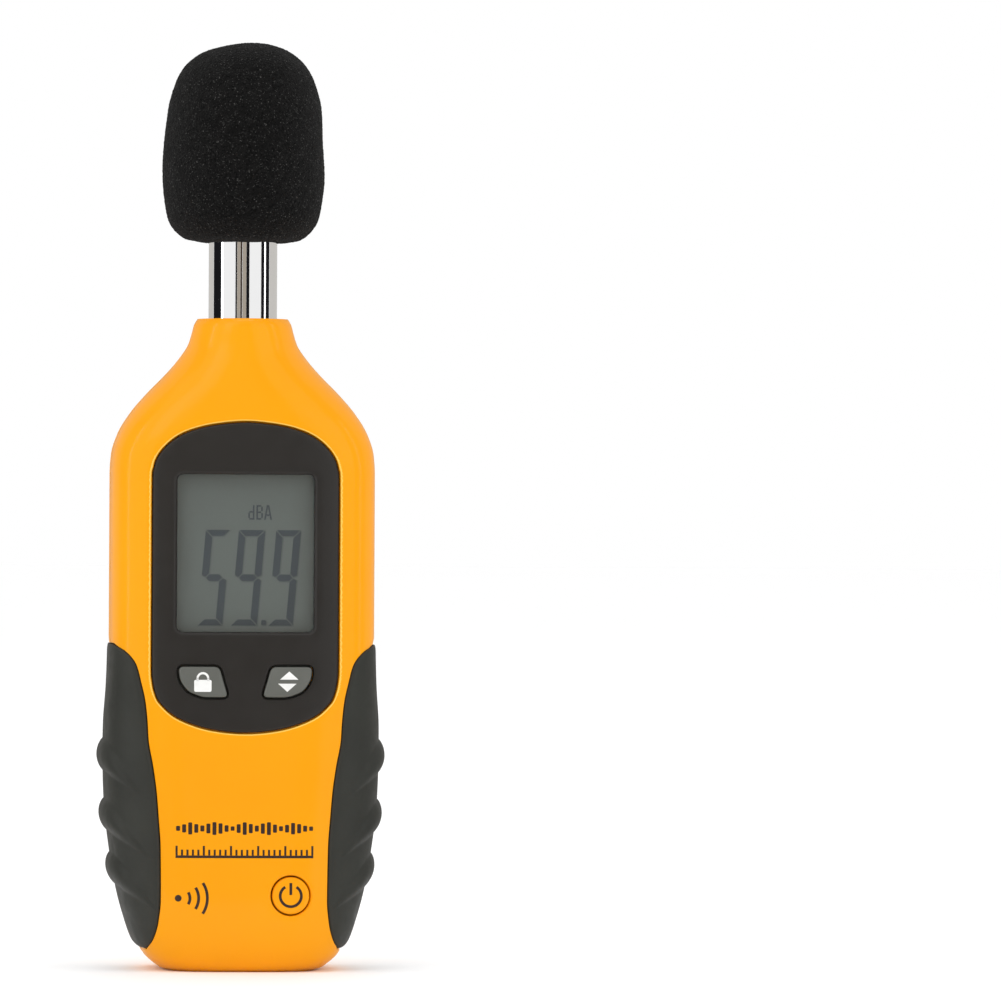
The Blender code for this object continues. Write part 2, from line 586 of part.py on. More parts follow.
skin("serial_label", serial_outline, 1, 0.12, -0.1, LABEL_HEIGHTS, AROUND, PAPER)

# ------------------------------------------------------------------ grips
for side, half in ((-1, "front"), (1, "rear")):
    for hand, word in ((-1, "left"), (1, "right")):
        smooth(grip_patch(f"{half}_grip_{word}", side, hand, -GRIP_SET_IN, 0.0, RUBBER), 50)

# ------------------------------------------------------------------ display
bezel = skin("display_bezel", bezel_outline, -1, -BEZEL_SET_IN, -(BEZEL_SET_IN + BEZEL_THICK), PANEL_HEIGHTS, AROUND, PANEL)
cut(bezel, plate("window opening", rounded(*WINDOW, 1.0, 3), -20, -8, cutter=True))
cut(bezel, plate("hold opening", grown(KEY, 0.35), -20, -8, cutter=True))
cut(bezel, plate("max/min opening", grown(mirrored(KEY), 0.35), -20, -8, cutter=True))
bezel.data.materials.clear()
bezel.data.materials.append(PANEL)
smooth(bezel)

plate("display_window", rounded(-13.6, 13.6, 61.65, 92.8, 0.8, 3), -12.7, -11.8, CLEAR)
plate("lcd_panel", rounded(-14.4, 14.4, 60.6, 93.9, 0.3, 2), -11.45, -9.8, LCD)
frame = plate("lcd_frame", rounded(-15.3, 15.3, 59.2, 95.0, 0.6, 3), -11.0, -8.0, WHITE)
cut(frame, block("frame opening", -14.7, 14.7, -13, -6, 60.3, 94.2, cutter=True))
plate("backlight", rounded(-14.0, 14.0, 64.0, 93.5, 0.5, 2), -9.5, -8.3, WHITE)
block("contact_strip", -13.0, 13.0, -9.5, -8.0, 61.0, 63.2, STRIP)

# ------------------------------------------------------------------ main board and what is on it
board_half = [(14.0, 9.5), (17.0, 16.5), (18.6, 34.0), (19.5, 48.0), (19.5, 93.0), (15.0, 98.5)]
board = plate("main_board", board_half + mirrored(board_half), BOARD_FRONT, BOARD_BACK, BOARD)
for x, z in BOARD_SCREWS:
    cut(board, lathe("screw hole", [(0, -10), (1.4, -10), (1.4, -4), (0, -4)], 8, "Y", (x, 0, z), cutter=True))
x, z = CASE_SCREW_BAY
cut(board, lathe("boss hole", [(0, -10), (3.6, -10), (3.6, -4), (0, -4)], 12, "Y", (x, 0, z), cutter=True))
board.data.materials.clear()
board.data.materials.append(BOARD)

behind = BOARD_BACK + GAP
plate("controller_chip", rounded(-5.0, 5.0, 79.5, 89.5, 0.6, 2), behind, behind + 1.4, BLACK)
block("preamplifier_chip", -4.4, 0.5, behind, behind + 1.5, 92.2, 96.1, BLACK)
smooth(lathe("filter_capacitor", [(0, behind), (4.0, behind), (4.0, behind + 7.1), (3.6, behind + 7.5),
                                  (0, behind + 7.5)], 20, "Y", (-10.2, 0, 84.0), ALU))
plate("crystal", rounded(8.2, 12.0, 81.5, 91.5, 1.8, 4), behind, behind + 3.2, ALU)
for i, (x, z) in enumerate(BOARD_SCREWS):
    turned_pin(f"board_screw_{i + 1}", x, z, 1.9, (behind, behind + 1.3), 1.05, -11.8, STEEL)

# ------------------------------------------------------------------ keys and their switches
for name, outline, cx, cz in (("hold", KEY, -8.0, 53.5), ("maxmin", mirrored(KEY), 8.0, 53.5)):
    centre = (cx, -12.0, cz)
    key = plate(f"{name}_button", outline, -15.2, -11.4, KEY_GREY)
    join(key, plate("flange", grown(outline, 1.0), -12.0, -11.4, cutter=True))
    key.data.materials.clear()
    key.data.materials.append(KEY_GREY)
    move_origin(key, centre)
    switch = block(f"{name}_switch", cx - 3, cx + 3, -10.6, -8.0, cz - 3, cz + 3, BLACK)
    cut(switch, lathe("plunger well", [(0, -8.7), (2.0, -8.7), (2.0, -12), (0, -12)], 16, "Y", (cx, 0, cz),
                      cutter=True))
    smooth(lathe(f"{name}_switch_plunger", [(0, -11.1), (1.7, -11.1), (1.7, -9.5), (0, -9.5)], 16, "Y", (cx, 0, cz),
                 WHITE, centre))

centre = (POWER_X, -12.0, POWER_Z)
face = depth_at(POWER_X, POWER_Z, -1)
smooth(lathe("power_button", [(0, face - 0.05), (POWER_R - 0.5, face - 0.05), (POWER_R, face + 0.4), (POWER_R, -11.6),
                              (4.5, -11.6), (4.5, -11.1), (0, -11.1)], 24, "Y", (POWER_X, 0, POWER_Z), ORANGE, centre))
switch = block("power_switch", POWER_X - 3, POWER_X + 3, -10.4, -8.0, POWER_Z - 3, POWER_Z + 3, BLACK)
cut(switch, lathe("plunger well", [(0, -8.6), (2.0, -8.6), (2.0, -12), (0, -12)], 16, "Y", (POWER_X, 0, POWER_Z),
                  cutter=True))
smooth(lathe("power_switch_plunger", [(0, -10.8), (1.7, -10.8), (1.7, -9.3), (0, -9.3)], 16, "Y",
             (POWER_X, 0, POWER_Z), WHITE, centre))

# ------------------------------------------------------------------ microphone
smooth(lathe("mic_tube", [(TUBE_BORE_R, TUBE_BOTTOM), (TUBE_R, TUBE_BOTTOM), (TUBE_R, TUBE_TOP - 0.35),
                          (TUBE_R - 0.35, TUBE_TOP), (TUBE_BORE_R, TUBE_TOP)], 24, "Z", (0, 0, 0), CHROME))
smooth(lathe("tube_collar", [(TUBE_R + GAP, 105.0), (8.7, 105.0), (8.7, 108.6), (TUBE_R + GAP, 108.6)], 24, "Z",
             (0, 0, 0), BLACK))
smooth(lathe("mic_holder", [(4.85, 150.0), (TUBE_BORE_R - GAP, 150.0), (TUBE_BORE_R - GAP, 158.4), (4.85, 158.4)], 20,
             "Z", (0, 0, 0), RUBBER))
smooth(lathe("mic_capsule", [(0, 151.0), (4.55, 151.0), (4.55, 157.6), (4.2, 158.0), (0, 158.0)], 20, "Z", (0, 0, 0),
             ALU))
grille = slab("mic_grille", circle(0, 0, TUBE_BORE_R - GAP, 20), 159.0, 160.3, STEEL)
for hx, hy in circle(0, 0, 3.0, 6):
    cut(grille, slab("sound hole", circle(hx, hy, 0.9, 6), 158, 162, cutter=True))
grille.data.materials.clear()
grille.data.materials.append(STEEL)
wire("mic_lead", [(0, 0, 150.6), (0, 0, 136), (0, 0, 118), (0.3, -0.4, 108), (1.8, -2.4, 101.5), (3.2, -3.9, 97.4),
                  (3.6, -4.9, 96.0), (3.6, -5.9, 95.7)], 0.6, BLACK)
windscreen = lathe("windscreen", [(0, FOAM_TOP)] + FOAM[::-1] + [(FOAM_BORE_R, FOAM[0][1] + 0.05),
                                                               (FOAM_BORE_R, FOAM_BORE_TOP - 0.9),
                                                               (FOAM_BORE_R - 0.9, FOAM_BORE_TOP), (0, FOAM_BORE_TOP)],
                   24, "Z", (0, 0, 0), FOAM_MAT, (0, 0, FOAM[0][1]))
smooth(windscreen, 60)

# ------------------------------------------------------------------ tripod bush
bush = lathe("tripod_bush", [(BUSH_BORE_R, 5.2), (BUSH_R, 5.2), (BUSH_R, BUSH_BACK), (BUSH_BORE_R, BUSH_BACK)], 28, "Y",
             (0, 0, BUSH_Z), BRASS)
smooth(bush)

# ------------------------------------------------------------------ battery door
pivot = (0, DOOR_PIVOT_Y, DOOR_PIVOT_Z)
door = skin("battery_door", door_outline, 1, -DOOR_SET_IN, -(DOOR_SET_IN + DOOR_THICK), DOOR_HEIGHTS, AROUND, ORANGE)
for lo, hi in ((-12.0, -6.0), (6.0, 12.0)):
    join(door, plate("tongue", [(lo, 8.0), (hi, 8.0), (hi, 11.4), (lo, 11.4)], 11.75, 12.75, cutter=True))
    join(door, block("tongue root", lo + 0.4, hi - 0.4, 12.2, 13.6, 10.2, 11.2, cutter=True))
join(door, block("latch", -2.9, 2.9, 10.0, 14.2, 71.75, 72.85, cutter=True))
label_outline = rounded(-12.5, 12.5, 24.0, 56.0, 1.0, 3)
cut(door, skin_cutter(grown(label_outline, GAP), 1, -0.45, DOOR_HEIGHTS, AROUND))
door.data.materials.clear()
door.data.materials.append(ORANGE)
move_origin(smooth(door), pivot)
skin("door_label", label_outline, 1, 0.1, -0.12, DOOR_HEIGHTS, AROUND, PAPER, pivot)

# ------------------------------------------------------------------ case screws
for i, (x, z) in enumerate(CASE_SCREWS_TOP):
    turned_pin(f"case_screw_{i + 1}", x, z, 2.2, (6.8, 8.3), 1.1, -7.9, STEEL)
turned_pin("case_screw_3", *CASE_SCREW_BAY, 2.1, (-5.9, -4.75), 1.1, -12.0, STEEL)

# ------------------------------------------------------------------ battery, snap connector, leads and pad
x0, x1, y0, y1, z0, z1 = BATTERY
middle = (y0 + y1) / 2
slab("battery", rounded(x0, x1, y0, y1, 2.2, 4), z0, z1, JACKET)
smooth(lathe("battery_stud", [(0, 60.0), (2.9, 60.0), (2.9, 62.3), (2.5, 62.6), (0, 62.6)], 16, "Z",
             (-TERMINAL_X, middle, 0), STEEL))
smooth(lathe("battery_socket", [(3.3, 60.0), (4.1, 60.0), (4.3, 62.6), (3.5, 62.6)], 12, "Z", (TERMINAL_X, middle, 0),
             STEEL))
snap = slab("snap_connector", [(x, y) for x, y in rounded(-13.0, 13.0, middle - 6.2, middle + 6.2, 6.1, 7)], 63.2,
            66.0, BLACK)
smooth(lathe("snap_stud", [(0, 60.3), (2.5, 60.3), (2.9, 60.6), (2.9, 62.9), (0, 62.9)], 16, "Z",
             (TERMINAL_X, middle, 0), STEEL))
smooth(lathe("snap_socket", [(3.5, 60.3), (4.3, 60.3), (4.1, 62.9), (3.3, 62.9)], 12, "Z", (-TERMINAL_X, middle, 0),
             STEEL))
wire("battery_lead_red", [(9.6, 2.0, 66.35), (9.5, 1.8, 67.3), (8.3, 0.2, 68.1), (6.3, -2.2, 68.7), (5.9, -2.6, 70.6),
                          (7.2, -3.2, 73.0), (9.6, -4.1, 75.6), (10.2, -4.9, 76.2),
                          (10.2, -5.9, 76.3)], 0.65, RED)
wire("battery_lead_black", [(-9.6, 2.0, 66.35), (-9.4, 1.8, 67.3), (-6.5, 0.4, 68.2), (-1.5, -1.2, 68.25),
                            (2.6, -2.3, 68.6), (3.5, -2.6, 70.6), (4.2, -3.3, 73.0), (5.6, -4.1, 75.0),
                            (6.2, -4.9, 75.6), (6.2, -5.9, 75.7)], 0.65, BLACK)
block("battery_pad", BAY_HALF_WIDTH + 0.02, BAY_HALF_WIDTH + 1.1, 2.3, 7.7, 24.3, 45.7, BLACK)
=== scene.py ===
"""Looks of the hand-held sound level meter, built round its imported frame.

Sizes are in millimetres in the building functions and become metres when a mesh is made. x, y and z are the frame's
own axes: the display faces -y, the battery door +y, and the meter stands on z = 0.
"""

import math

import bmesh
import bpy
import numpy as np
from mathutils import Matrix, Vector, noise
from mathutils.geometry import delaunay_2d_cdt


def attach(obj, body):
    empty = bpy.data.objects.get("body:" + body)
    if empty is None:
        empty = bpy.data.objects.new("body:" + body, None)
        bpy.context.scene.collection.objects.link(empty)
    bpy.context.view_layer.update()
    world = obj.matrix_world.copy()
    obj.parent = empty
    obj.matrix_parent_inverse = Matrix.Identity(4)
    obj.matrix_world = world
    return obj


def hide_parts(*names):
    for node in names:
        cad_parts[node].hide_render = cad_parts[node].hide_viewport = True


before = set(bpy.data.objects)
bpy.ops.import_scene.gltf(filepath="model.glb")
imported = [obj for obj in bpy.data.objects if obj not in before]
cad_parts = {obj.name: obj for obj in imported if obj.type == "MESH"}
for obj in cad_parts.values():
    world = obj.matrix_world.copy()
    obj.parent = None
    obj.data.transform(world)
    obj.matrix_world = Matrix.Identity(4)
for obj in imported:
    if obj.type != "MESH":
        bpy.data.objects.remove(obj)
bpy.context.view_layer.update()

MM = 0.001
SEAM = 0.15
GAP = 0.30

# ---------------------------------------------------------------- the casing's form
HALF_WIDTH = [(0, 13.8), (0.35, 14.9), (1.1, 16.0), (3.0, 18.05), (5.5, 19.3), (10, 20.5), (15, 21.65), (20, 22.5),
              (30, 23.75), (40, 24.3), (48, 24.5), (92, 24.5), (95.6, 24.25), (99.3, 23.1), (103, 20.9), (106.7, 17.8),
              (110.4, 14.2), (113.2, 11.85), (115.9, 10.1), (118, 9.45), (119.8, 8.95), (120.6, 8.4)]
FRONT_DEPTH = [(0, 10.4), (0.35, 11.2), (1.1, 12.1), (3.0, 13.3), (6, 14.2), (10, 14.7), (16, 15.0), (88, 15.0),
               (96, 14.8), (101, 14.2), (106, 13.0), (111, 11.4), (115.5, 10.0), (118, 9.5), (119.8, 9.0), (120.6, 8.45)]
REAR_DEPTH = [(0, 10.6), (0.35, 11.4), (1.1, 12.3), (3.0, 13.5), (6, 14.4), (10, 14.85), (16, 15.15), (92, 15.15),
              (97, 14.9), (102, 14.1), (106.5, 12.8), (111, 11.3), (115.5, 10.0), (118, 9.5), (119.8, 9.0),
              (120.6, 8.45)]
EXPONENT = [(0, 3.2), (10, 4.0), (90, 4.0), (100, 3.5), (108, 2.7), (115, 2.15), (120.6, 2.0)]
WALL = 2.4
BODY_TOP = 120.6
CAVITY_BOTTOM = 2.4

GRIP_EDGE_FRONT = [(4.1, 17.95), (5.9, 16.8), (9.2, 15.9), (13.5, 15.5), (22.9, 15.6), (28.8, 16.0), (33.5, 16.4),
                   (38.1, 17.05), (42.9, 17.9), (46.2, 18.1), (49.9, 18.5), (53.5, 19.3), (56.7, 20.2), (59.0, 22.0),
                   (60.4, 24.3)]
GRIP_EDGE_REAR = [(4.1, 18.0), (5.9, 17.35), (9.2, 17.05), (13.5, 17.0), (22.9, 17.05), (28.8, 17.2), (33.5, 17.45),
                  (38.1, 17.8), (42.9, 18.25), (46.2, 18.6), (49.9, 19.05), (53.5, 19.6), (56.7, 20.4), (59.0, 22.1),
                  (60.4, 24.3)]
GRIP_BOTTOM, GRIP_TOP = 4.3, 60.3
GRIP_PROUD = [(4.3, 0.75), (8.5, 1.2), (13, 1.45), (22, 1.6), (30, 1.6), (36, 1.5), (45.6, 1.15), (53, 0.5),
              (60.3, 0.12)]
RIDGES = (40.0, 28.9, 18.9)

BEZEL_HALF = [(0, 101.3), (4.5, 100.95), (8.5, 100.2), (12, 98.9), (14.6, 97.0), (16.3, 94.8), (17.0, 92.6),
              (17.2, 90), (17.2, 73), (17.2, 57), (17.05, 53.8), (16.5, 51.3), (15.5, 49.5), (12.5, 47.0), (7, 45.0),
              (0, 44.25)]
BEZEL_SET_IN, BEZEL_THICK = 0.25, 1.1
WINDOW = (-12.6, 12.6, 62.75, 91.7)
POWER_X, POWER_Z, POWER_R = 8.56, 14.3, 3.45
KEY_CORNERS = [(-12.32, 56.35), (-4.82, 56.35), (-3.2, 50.75), (-7.9, 50.75), (-10.6, 51.8), (-12.05, 53.9)]

BAY_HALF_WIDTH, BAY_BOTTOM, BAY_TOP, BAY_FLOOR, BAY_WALL = 13.7, 11.5, 69.5, -4.7, 1.25
DOOR = (-15.5, 15.5, 9.8, 74.4, 3.2)
DOOR_SET_IN, DOOR_THICK = 0.05, 1.5
BATTERY = (-13.0, 13.0, -4.3, 12.5, 13.2, 59.7)
TERMINAL_X = 6.35
BUSH_Z, BUSH_R, BUSH_BORE_R, BUSH_BACK = 95.5, 4.3, 3.2, 14.95
TUBE_R, TUBE_BORE_R, TUBE_BOTTOM, TUBE_TOP = 6.35, 5.6, 104.0, 160.6
FOAM_BORE_R, FOAM_BORE_TOP = 6.65, 161.4


def curve_through(stations):
    """A smooth curve that never overshoots its stations (monotone cubic)."""
    xs = np.array([s[0] for s in stations], float)
    ys = np.array([s[1] for s in stations], float)
    h = np.diff(xs)
    slope = np.diff(ys) / h
    m = np.zeros(len(xs))
    m[0], m[-1] = slope[0], slope[-1]
    for i in range(1, len(xs) - 1):
        if slope[i - 1] * slope[i] > 0:
            w1, w2 = 2 * h[i] + h[i - 1], h[i] + 2 * h[i - 1]
            m[i] = (w1 + w2) / (w1 / slope[i - 1] + w2 / slope[i])

    def at(x):
        x = np.clip(np.asarray(x, float), xs[0], xs[-1])
        i = np.minimum(np.searchsorted(xs, x, side="right") - 1, len(h) - 1)
        t = (x - xs[i]) / h[i]
        return ((2 * t**3 - 3 * t**2 + 1) * ys[i] + (t**3 - 2 * t**2 + t) * h[i] * m[i]
                + (-2 * t**3 + 3 * t**2) * ys[i + 1] + (t**3 - t**2) * h[i] * m[i + 1])

    return at


half_width = curve_through(HALF_WIDTH)
depth_of = {-1: curve_through(FRONT_DEPTH), 1: curve_through(REAR_DEPTH)}
exponent = curve_through(EXPONENT)
grip_edge = {-1: curve_through(GRIP_EDGE_FRONT), 1: curve_through(GRIP_EDGE_REAR)}
grip_proud = curve_through(GRIP_PROUD)


class Skin:
    """One half of the casing's outer form laid flat: s runs along the section from the centre line, z up the body."""

    def __init__(self, side):
        self.side = side
        self.zs = np.unique(np.round(np.concatenate(
            [np.linspace(0, 6, 81), np.linspace(6, 112, 300), np.linspace(112, BODY_TOP, 80)]), 6))
        self.us = np.linspace(-1, 1, 401)
        table, half = [], []
        t = np.pi * (1 - np.cos(np.pi * np.linspace(0, 1, 1400))) / 2
        c, s = np.cos(t), np.sin(t)
        for z in self.zs:
            a, b, n = float(half_width(z)), float(depth_of[side](z)), float(exponent(z))
            x, y = a * np.sign(c) * np.abs(c) ** (2 / n), b * np.abs(s) ** (2 / n)
            gx, gy = np.sign(x) * np.abs(x / a) ** (n - 1) / a, np.abs(y / b) ** (n - 1) / b
            size = np.hypot(gx, gy)
            keep = y > SEAM
            x = np.concatenate([[a], x[keep], [-a]])
            y = np.concatenate([[SEAM], y[keep], [SEAM]])
            gx = np.concatenate([[1.0], (gx / size)[keep], [-1.0]])
            gy = np.concatenate([[0.0], (gy / size)[keep], [0.0]])
            run = np.concatenate([[0], np.cumsum(np.hypot(np.diff(x), np.diff(y)))])
            w = run[-1] / 2
            at = (w - run)[::-1]
            table.append(np.stack([np.interp(self.us * w, at, v[::-1]) for v in (x, side * y, gx, side * gy)], axis=1))
            half.append(w)
        self.table, self.half, self.deep = np.array(table), np.array(half), {}

    def width(self, z):
        return np.interp(z, self.zs, self.half)

    def at(self, s, z, out=0.0, u=None):
        z = np.clip(np.asarray(z, float), 0, BODY_TOP)
        i = np.clip(np.searchsorted(self.zs, z, side="right") - 1, 0, len(self.zs) - 2)
        f = ((z - self.zs[i]) / (self.zs[i + 1] - self.zs[i]))[:, None]
        u = np.clip(np.asarray(s, float) / self.width(z), -1, 1) if u is None else u
        k = (u + 1) / 2 * (len(self.us) - 1)
        j = np.clip(np.floor(k).astype(int), 0, len(self.us) - 2)
        g = (k - j)[:, None]
        t = self.table
        row = (t[i, j] * (1 - g) + t[i, j + 1] * g) * (1 - f) + (t[i + 1, j] * (1 - g) + t[i + 1, j + 1] * g) * f
        size = np.hypot(row[:, 2], row[:, 3])
        out = np.broadcast_to(out, z.shape)
        return np.stack([row[:, 0] + out * row[:, 2] / size, row[:, 1] + out * row[:, 3] / size, z], axis=1)

    def lay(self, xz):
        """The (s, z) of points given as (x, z)."""
        out = []
        for x, z in xz:
            i = min(max(int(np.searchsorted(self.zs, z, side="right")) - 1, 0), len(self.zs) - 2)
            f = (z - self.zs[i]) / (self.zs[i + 1] - self.zs[i])
            row = self.table[i, :, 0] * (1 - f) + self.table[i + 1, :, 0] * f
            out.append((float(np.interp(x, row, self.us) * self.width(z)), float(z)))
        return out

    def depth(self, x, z, out=0.0):
        """y over (x, z) on the form pushed out by out, which may differ from point to point."""
        x, z = np.asarray(x, float), np.asarray(z, float)
        out = np.broadcast_to(out, x.shape)
        low, high = self._deep(math.floor(out.min() * 10) / 10), self._deep(math.floor(out.min() * 10) / 10 + 0.1)
        if out.max() - out.min() < 1e-9:
            level = (out - math.floor(out.min() * 10) / 10) / 0.1
            return self._look(low, x, z) * (1 - level) + self._look(high, x, z) * level
        result = np.zeros(x.shape)
        base = np.floor(out * 10).astype(int)
        for k in np.unique(base):
            pick = base == k
            level = (out[pick] - k / 10) / 0.1
            result[pick] = (self._look(self._deep(k / 10), x[pick], z[pick]) * (1 - level)
                            + self._look(self._deep((k + 1) / 10), x[pick], z[pick]) * level)
        return result

    def _deep(self, out):
        key = round(out, 3)
        if key not in self.deep:
            grid = np.linspace(-21, 21, 169)
            self.deep[key] = np.array([
                np.interp(grid, row[:, 0] + key * row[:, 2], row[:, 1] + key * row[:, 3]) for row in self.table])
        return self.deep[key]

    def _look(self, rows, x, z):
        i = np.clip(np.searchsorted(self.zs, z, side="right") - 1, 0, len(self.zs) - 2)
        f = (z - self.zs[i]) / (self.zs[i + 1] - self.zs[i])
        k = np.clip((x + 21) / 42 * 168, 0, 167.999)
        j = np.floor(k).astype(int)
        g = k - j
        return (rows[i, j] * (1 - g) + rows[i, j + 1] * g) * (1 - f) + (rows[i + 1, j] * (1 - g)
                                                                         + rows[i + 1, j + 1] * g) * f


skins = {-1: Skin(-1), 1: Skin(1)}


# ---------------------------------------------------------------- outlines
def circle(cx, cz, r, count, turn=0.0):
    return [(cx + r * math.cos(2 * math.pi * i / count + turn), cz + r * math.sin(2 * math.pi * i / count + turn))
            for i in range(count)]


def rounded(x0, x1, z0, z1, r, count=9):
    out = []
    for cx, cz, start in ((x1 - r, z1 - r, 0), (x0 + r, z1 - r, 90), (x0 + r, z0 + r, 180), (x1 - r, z0 + r, 270)):
        for i in range(count):
            angle = math.radians(start + 90 * i / (count - 1))
            out.append((cx + r * math.cos(angle), cz + r * math.sin(angle)))
    return out


def grown(outline, by):
    p = np.array(outline, float)
    area = 0.5 * np.sum(p[:, 0] * np.roll(p[:, 1], -1) - np.roll(p[:, 0], -1) * p[:, 1])
    turn = 1 if area > 0 else -1
    before, after = p - np.roll(p, 1, axis=0), np.roll(p, -1, axis=0) - p
    out = []
    for point, e1, e2 in zip(p, before, after):
        n1 = turn * np.array([e1[1], -e1[0]]) / np.hypot(*e1)
        n2 = turn * np.array([e2[1], -e2[0]]) / np.hypot(*e2)
        mid = n1 + n2
        out.append(tuple(point + by * mid / max(0.6, float(mid @ n1))))
    return out


def mirrored(outline):
    return [(-x, z) for x, z in reversed(outline)]


def smooth_outline(half, per=6):
    """A closed outline from its right half, listed from the top of the centre line to the bottom."""
    pts = np.array(half, float)
    pad = np.vstack([[-pts[1][0], pts[1][1]], pts, [-pts[-2][0], pts[-2][1]]])
    right = []
    for i in range(1, len(pad) - 2):
        p0, p1, p2, p3 = pad[i - 1 : i + 3]
        for k in range(per):
            t = k / per
            right.append(tuple(0.5 * (2 * p1 + (p2 - p0) * t + (2 * p0 - 5 * p1 + 4 * p2 - p3) * t**2
                                      + (3 * p1 - p0 - 3 * p2 + p3) * t**3)))
    right.append(tuple(pts[-1]))
    left = [(-x, z) for x, z in right[1:-1]][::-1]
    return [(float(x), float(z)) for x, z in right + left]


def filleted(outline, r, count=5):
    """The outline with each corner turned into a short curve."""
    p = np.array(outline, float)
    out = []
    for before, at, after in zip(np.roll(p, 1, axis=0), p, np.roll(p, -1, axis=0)):
        e1, e2 = before - at, after - at
        l1, l2 = np.hypot(*e1), np.hypot(*e2)
        reach = min(r, 0.45 * l1, 0.45 * l2)
        a, b = at + e1 / l1 * reach, at + e2 / l2 * reach
        for i in range(count):
            t = i / (count - 1)
            out.append(tuple((1 - t) ** 2 * a + 2 * t * (1 - t) * at + t * t * b))
    return out


def dense(outline, step=0.7):
    """The outline with no side longer than step."""
    out = []
    for i, p in enumerate(outline):
        q = outline[(i + 1) % len(outline)]
        n = max(1, math.ceil(math.hypot(q[0] - p[0], q[1] - p[1]) / step))
        out += [(p[0] + (q[0] - p[0]) * k / n, p[1] + (q[1] - p[1]) * k / n) for k in range(n)]
    return out


def clean(outline, least=1e-4):
    """Without repeated points."""
    out = [outline[0]]
    for p in outline[1:]:
        if math.hypot(p[0] - out[-1][0], p[1] - out[-1][1]) > least:
            out.append(p)
    if math.hypot(out[0][0] - out[-1][0], out[0][1] - out[-1][1]) <= least:
        out.pop()
    return out


def inside(points, outline):
    p = np.array(outline, float)
    q = np.roll(p, -1, axis=0)
    out = np.zeros(len(points), bool)
    for lo in range(0, len(points), 4000):
        x, y = points[lo : lo + 4000, 0][:, None], points[lo : lo + 4000, 1][:, None]
        cross = (p[:, 1] > y) != (q[:, 1] > y)
        at = (q[:, 0] - p[:, 0]) * (y - p[:, 1]) / (q[:, 1] - p[:, 1] + 1e-30) + p[:, 0]
        out[lo : lo + 4000] = (cross & (x < at)).sum(axis=1) % 2 == 1
    return out


def away(points, line, closed=True):
    """Each point's distance to a line."""
    p = np.array(line, float)
    q = np.roll(p, -1, axis=0) if closed else p[1:]
    p = p if closed else p[:-1]
    d = q - p
    size = (d**2).sum(axis=1) + 1e-30
    out = np.zeros(len(points))
    for lo in range(0, len(points), 2000):
        v = points[lo : lo + 2000, None, :] - p
        t = np.clip((v * d).sum(axis=2) / size, 0, 1)
        out[lo : lo + 2000] = np.sqrt(((v - t[..., None] * d) ** 2).sum(axis=2).min(axis=1))
    return out


# ---------------------------------------------------------------- meshes
def make(name, points, faces, mats=(), angle=35.0, keep_normals=False):
    """One object from points in millimetres, closed up and facing out."""
    mesh = bpy.data.meshes.new(name)
    mesh.from_pydata((np.array(points, float) * MM).tolist(), [], [tuple(int(i) for i in f) for f in faces])
    if not keep_normals:
        work = bmesh.new()
        work.from_mesh(mesh)
        bmesh.ops.remove_doubles(work, verts=work.verts, dist=2e-7)
        bmesh.ops.dissolve_degenerate(work, edges=work.edges, dist=1e-7)
        bmesh.ops.recalc_face_normals(work, faces=work.faces)
        work.to_mesh(mesh)
        work.free()
    obj = bpy.data.objects.new(name, mesh)
    bpy.context.scene.collection.objects.link(obj)
    for m in mats if isinstance(mats, (list, tuple)) else (mats,):
        obj.data.materials.append(m)
    shade(obj, angle)
    return obj


def shade(obj, angle):
    obj.data.shade_smooth()
    if angle < 179:
        obj.data.set_sharp_from_angle(angle=math.radians(angle))


def combine(obj, other, operation, solver="MANIFOLD"):
    """Boolean with another object, which is used up."""
    bpy.context.view_layer.update()
    step = obj.modifiers.new("shape", "BOOLEAN")
    step.operation, step.solver, step.object = operation, solver, other
    graph = bpy.context.evaluated_depsgraph_get()
    graph.update()
    mesh = bpy.data.meshes.new_from_object(obj.evaluated_get(graph))
    obj.modifiers.remove(step)
    old, obj.data = obj.data, mesh
    bpy.data.meshes.remove(old)
    bpy.data.objects.remove(other, do_unlink=True)
    return obj


def one_material(obj, mat):
    obj.data.materials.clear()
    obj.data.materials.append(mat)
    obj.data.polygons.foreach_set("material_index", [0] * len(obj.data.polygons))


def rings_solid(name, rings, mats=(), angle=35.0, ends=True):
    """A closed body through rings of equal length, with flat ends."""
    count = len(rings[0])
    points = [p for ring in rings for p in ring]
    faces = []
    for r in range(len(rings) - 1):
        for i in range(count):
            j = (i + 1) % count
            a, b = r * count, (r + 1) * count
            faces.append((a + i, a + j, b + j, b + i))
    if ends:
        faces.append(tuple(range(count))[::-1])
        faces.append(tuple((len(rings) - 1) * count + i for i in range(count)))
    return make(name, points, faces, mats, angle)


def pressed(name, outline, levels, mats=(), axis="Y", angle=35.0):
    """An outline drawn through levels of (distance grown, height): a plate with shaped edges."""
    rings = []
    for by, h in levels:
        ring = grown(outline, by) if abs(by) > 1e-9 else outline
        rings.append([(x, h, z) if axis == "Y" else (x, z, h) for x, z in ring])
    return rings_solid(name, rings, mats, angle)


def box(name, x0, x1, y0, y1, z0, z1, mats=(), edge=0.0):
    obj = pressed(name, rounded(x0, x1, y0, y1, max(edge, 0.02), 5 if edge else 2),
                  [(-edge * 0.9, z0), (-edge * 0.25, z0 + edge * 0.3), (0, z0 + edge), (0, z1 - edge),
                   (-edge * 0.25, z1 - edge * 0.3), (-edge * 0.9, z1)] if edge else [(0, z0), (0, z1)], mats, "Z")
    return obj


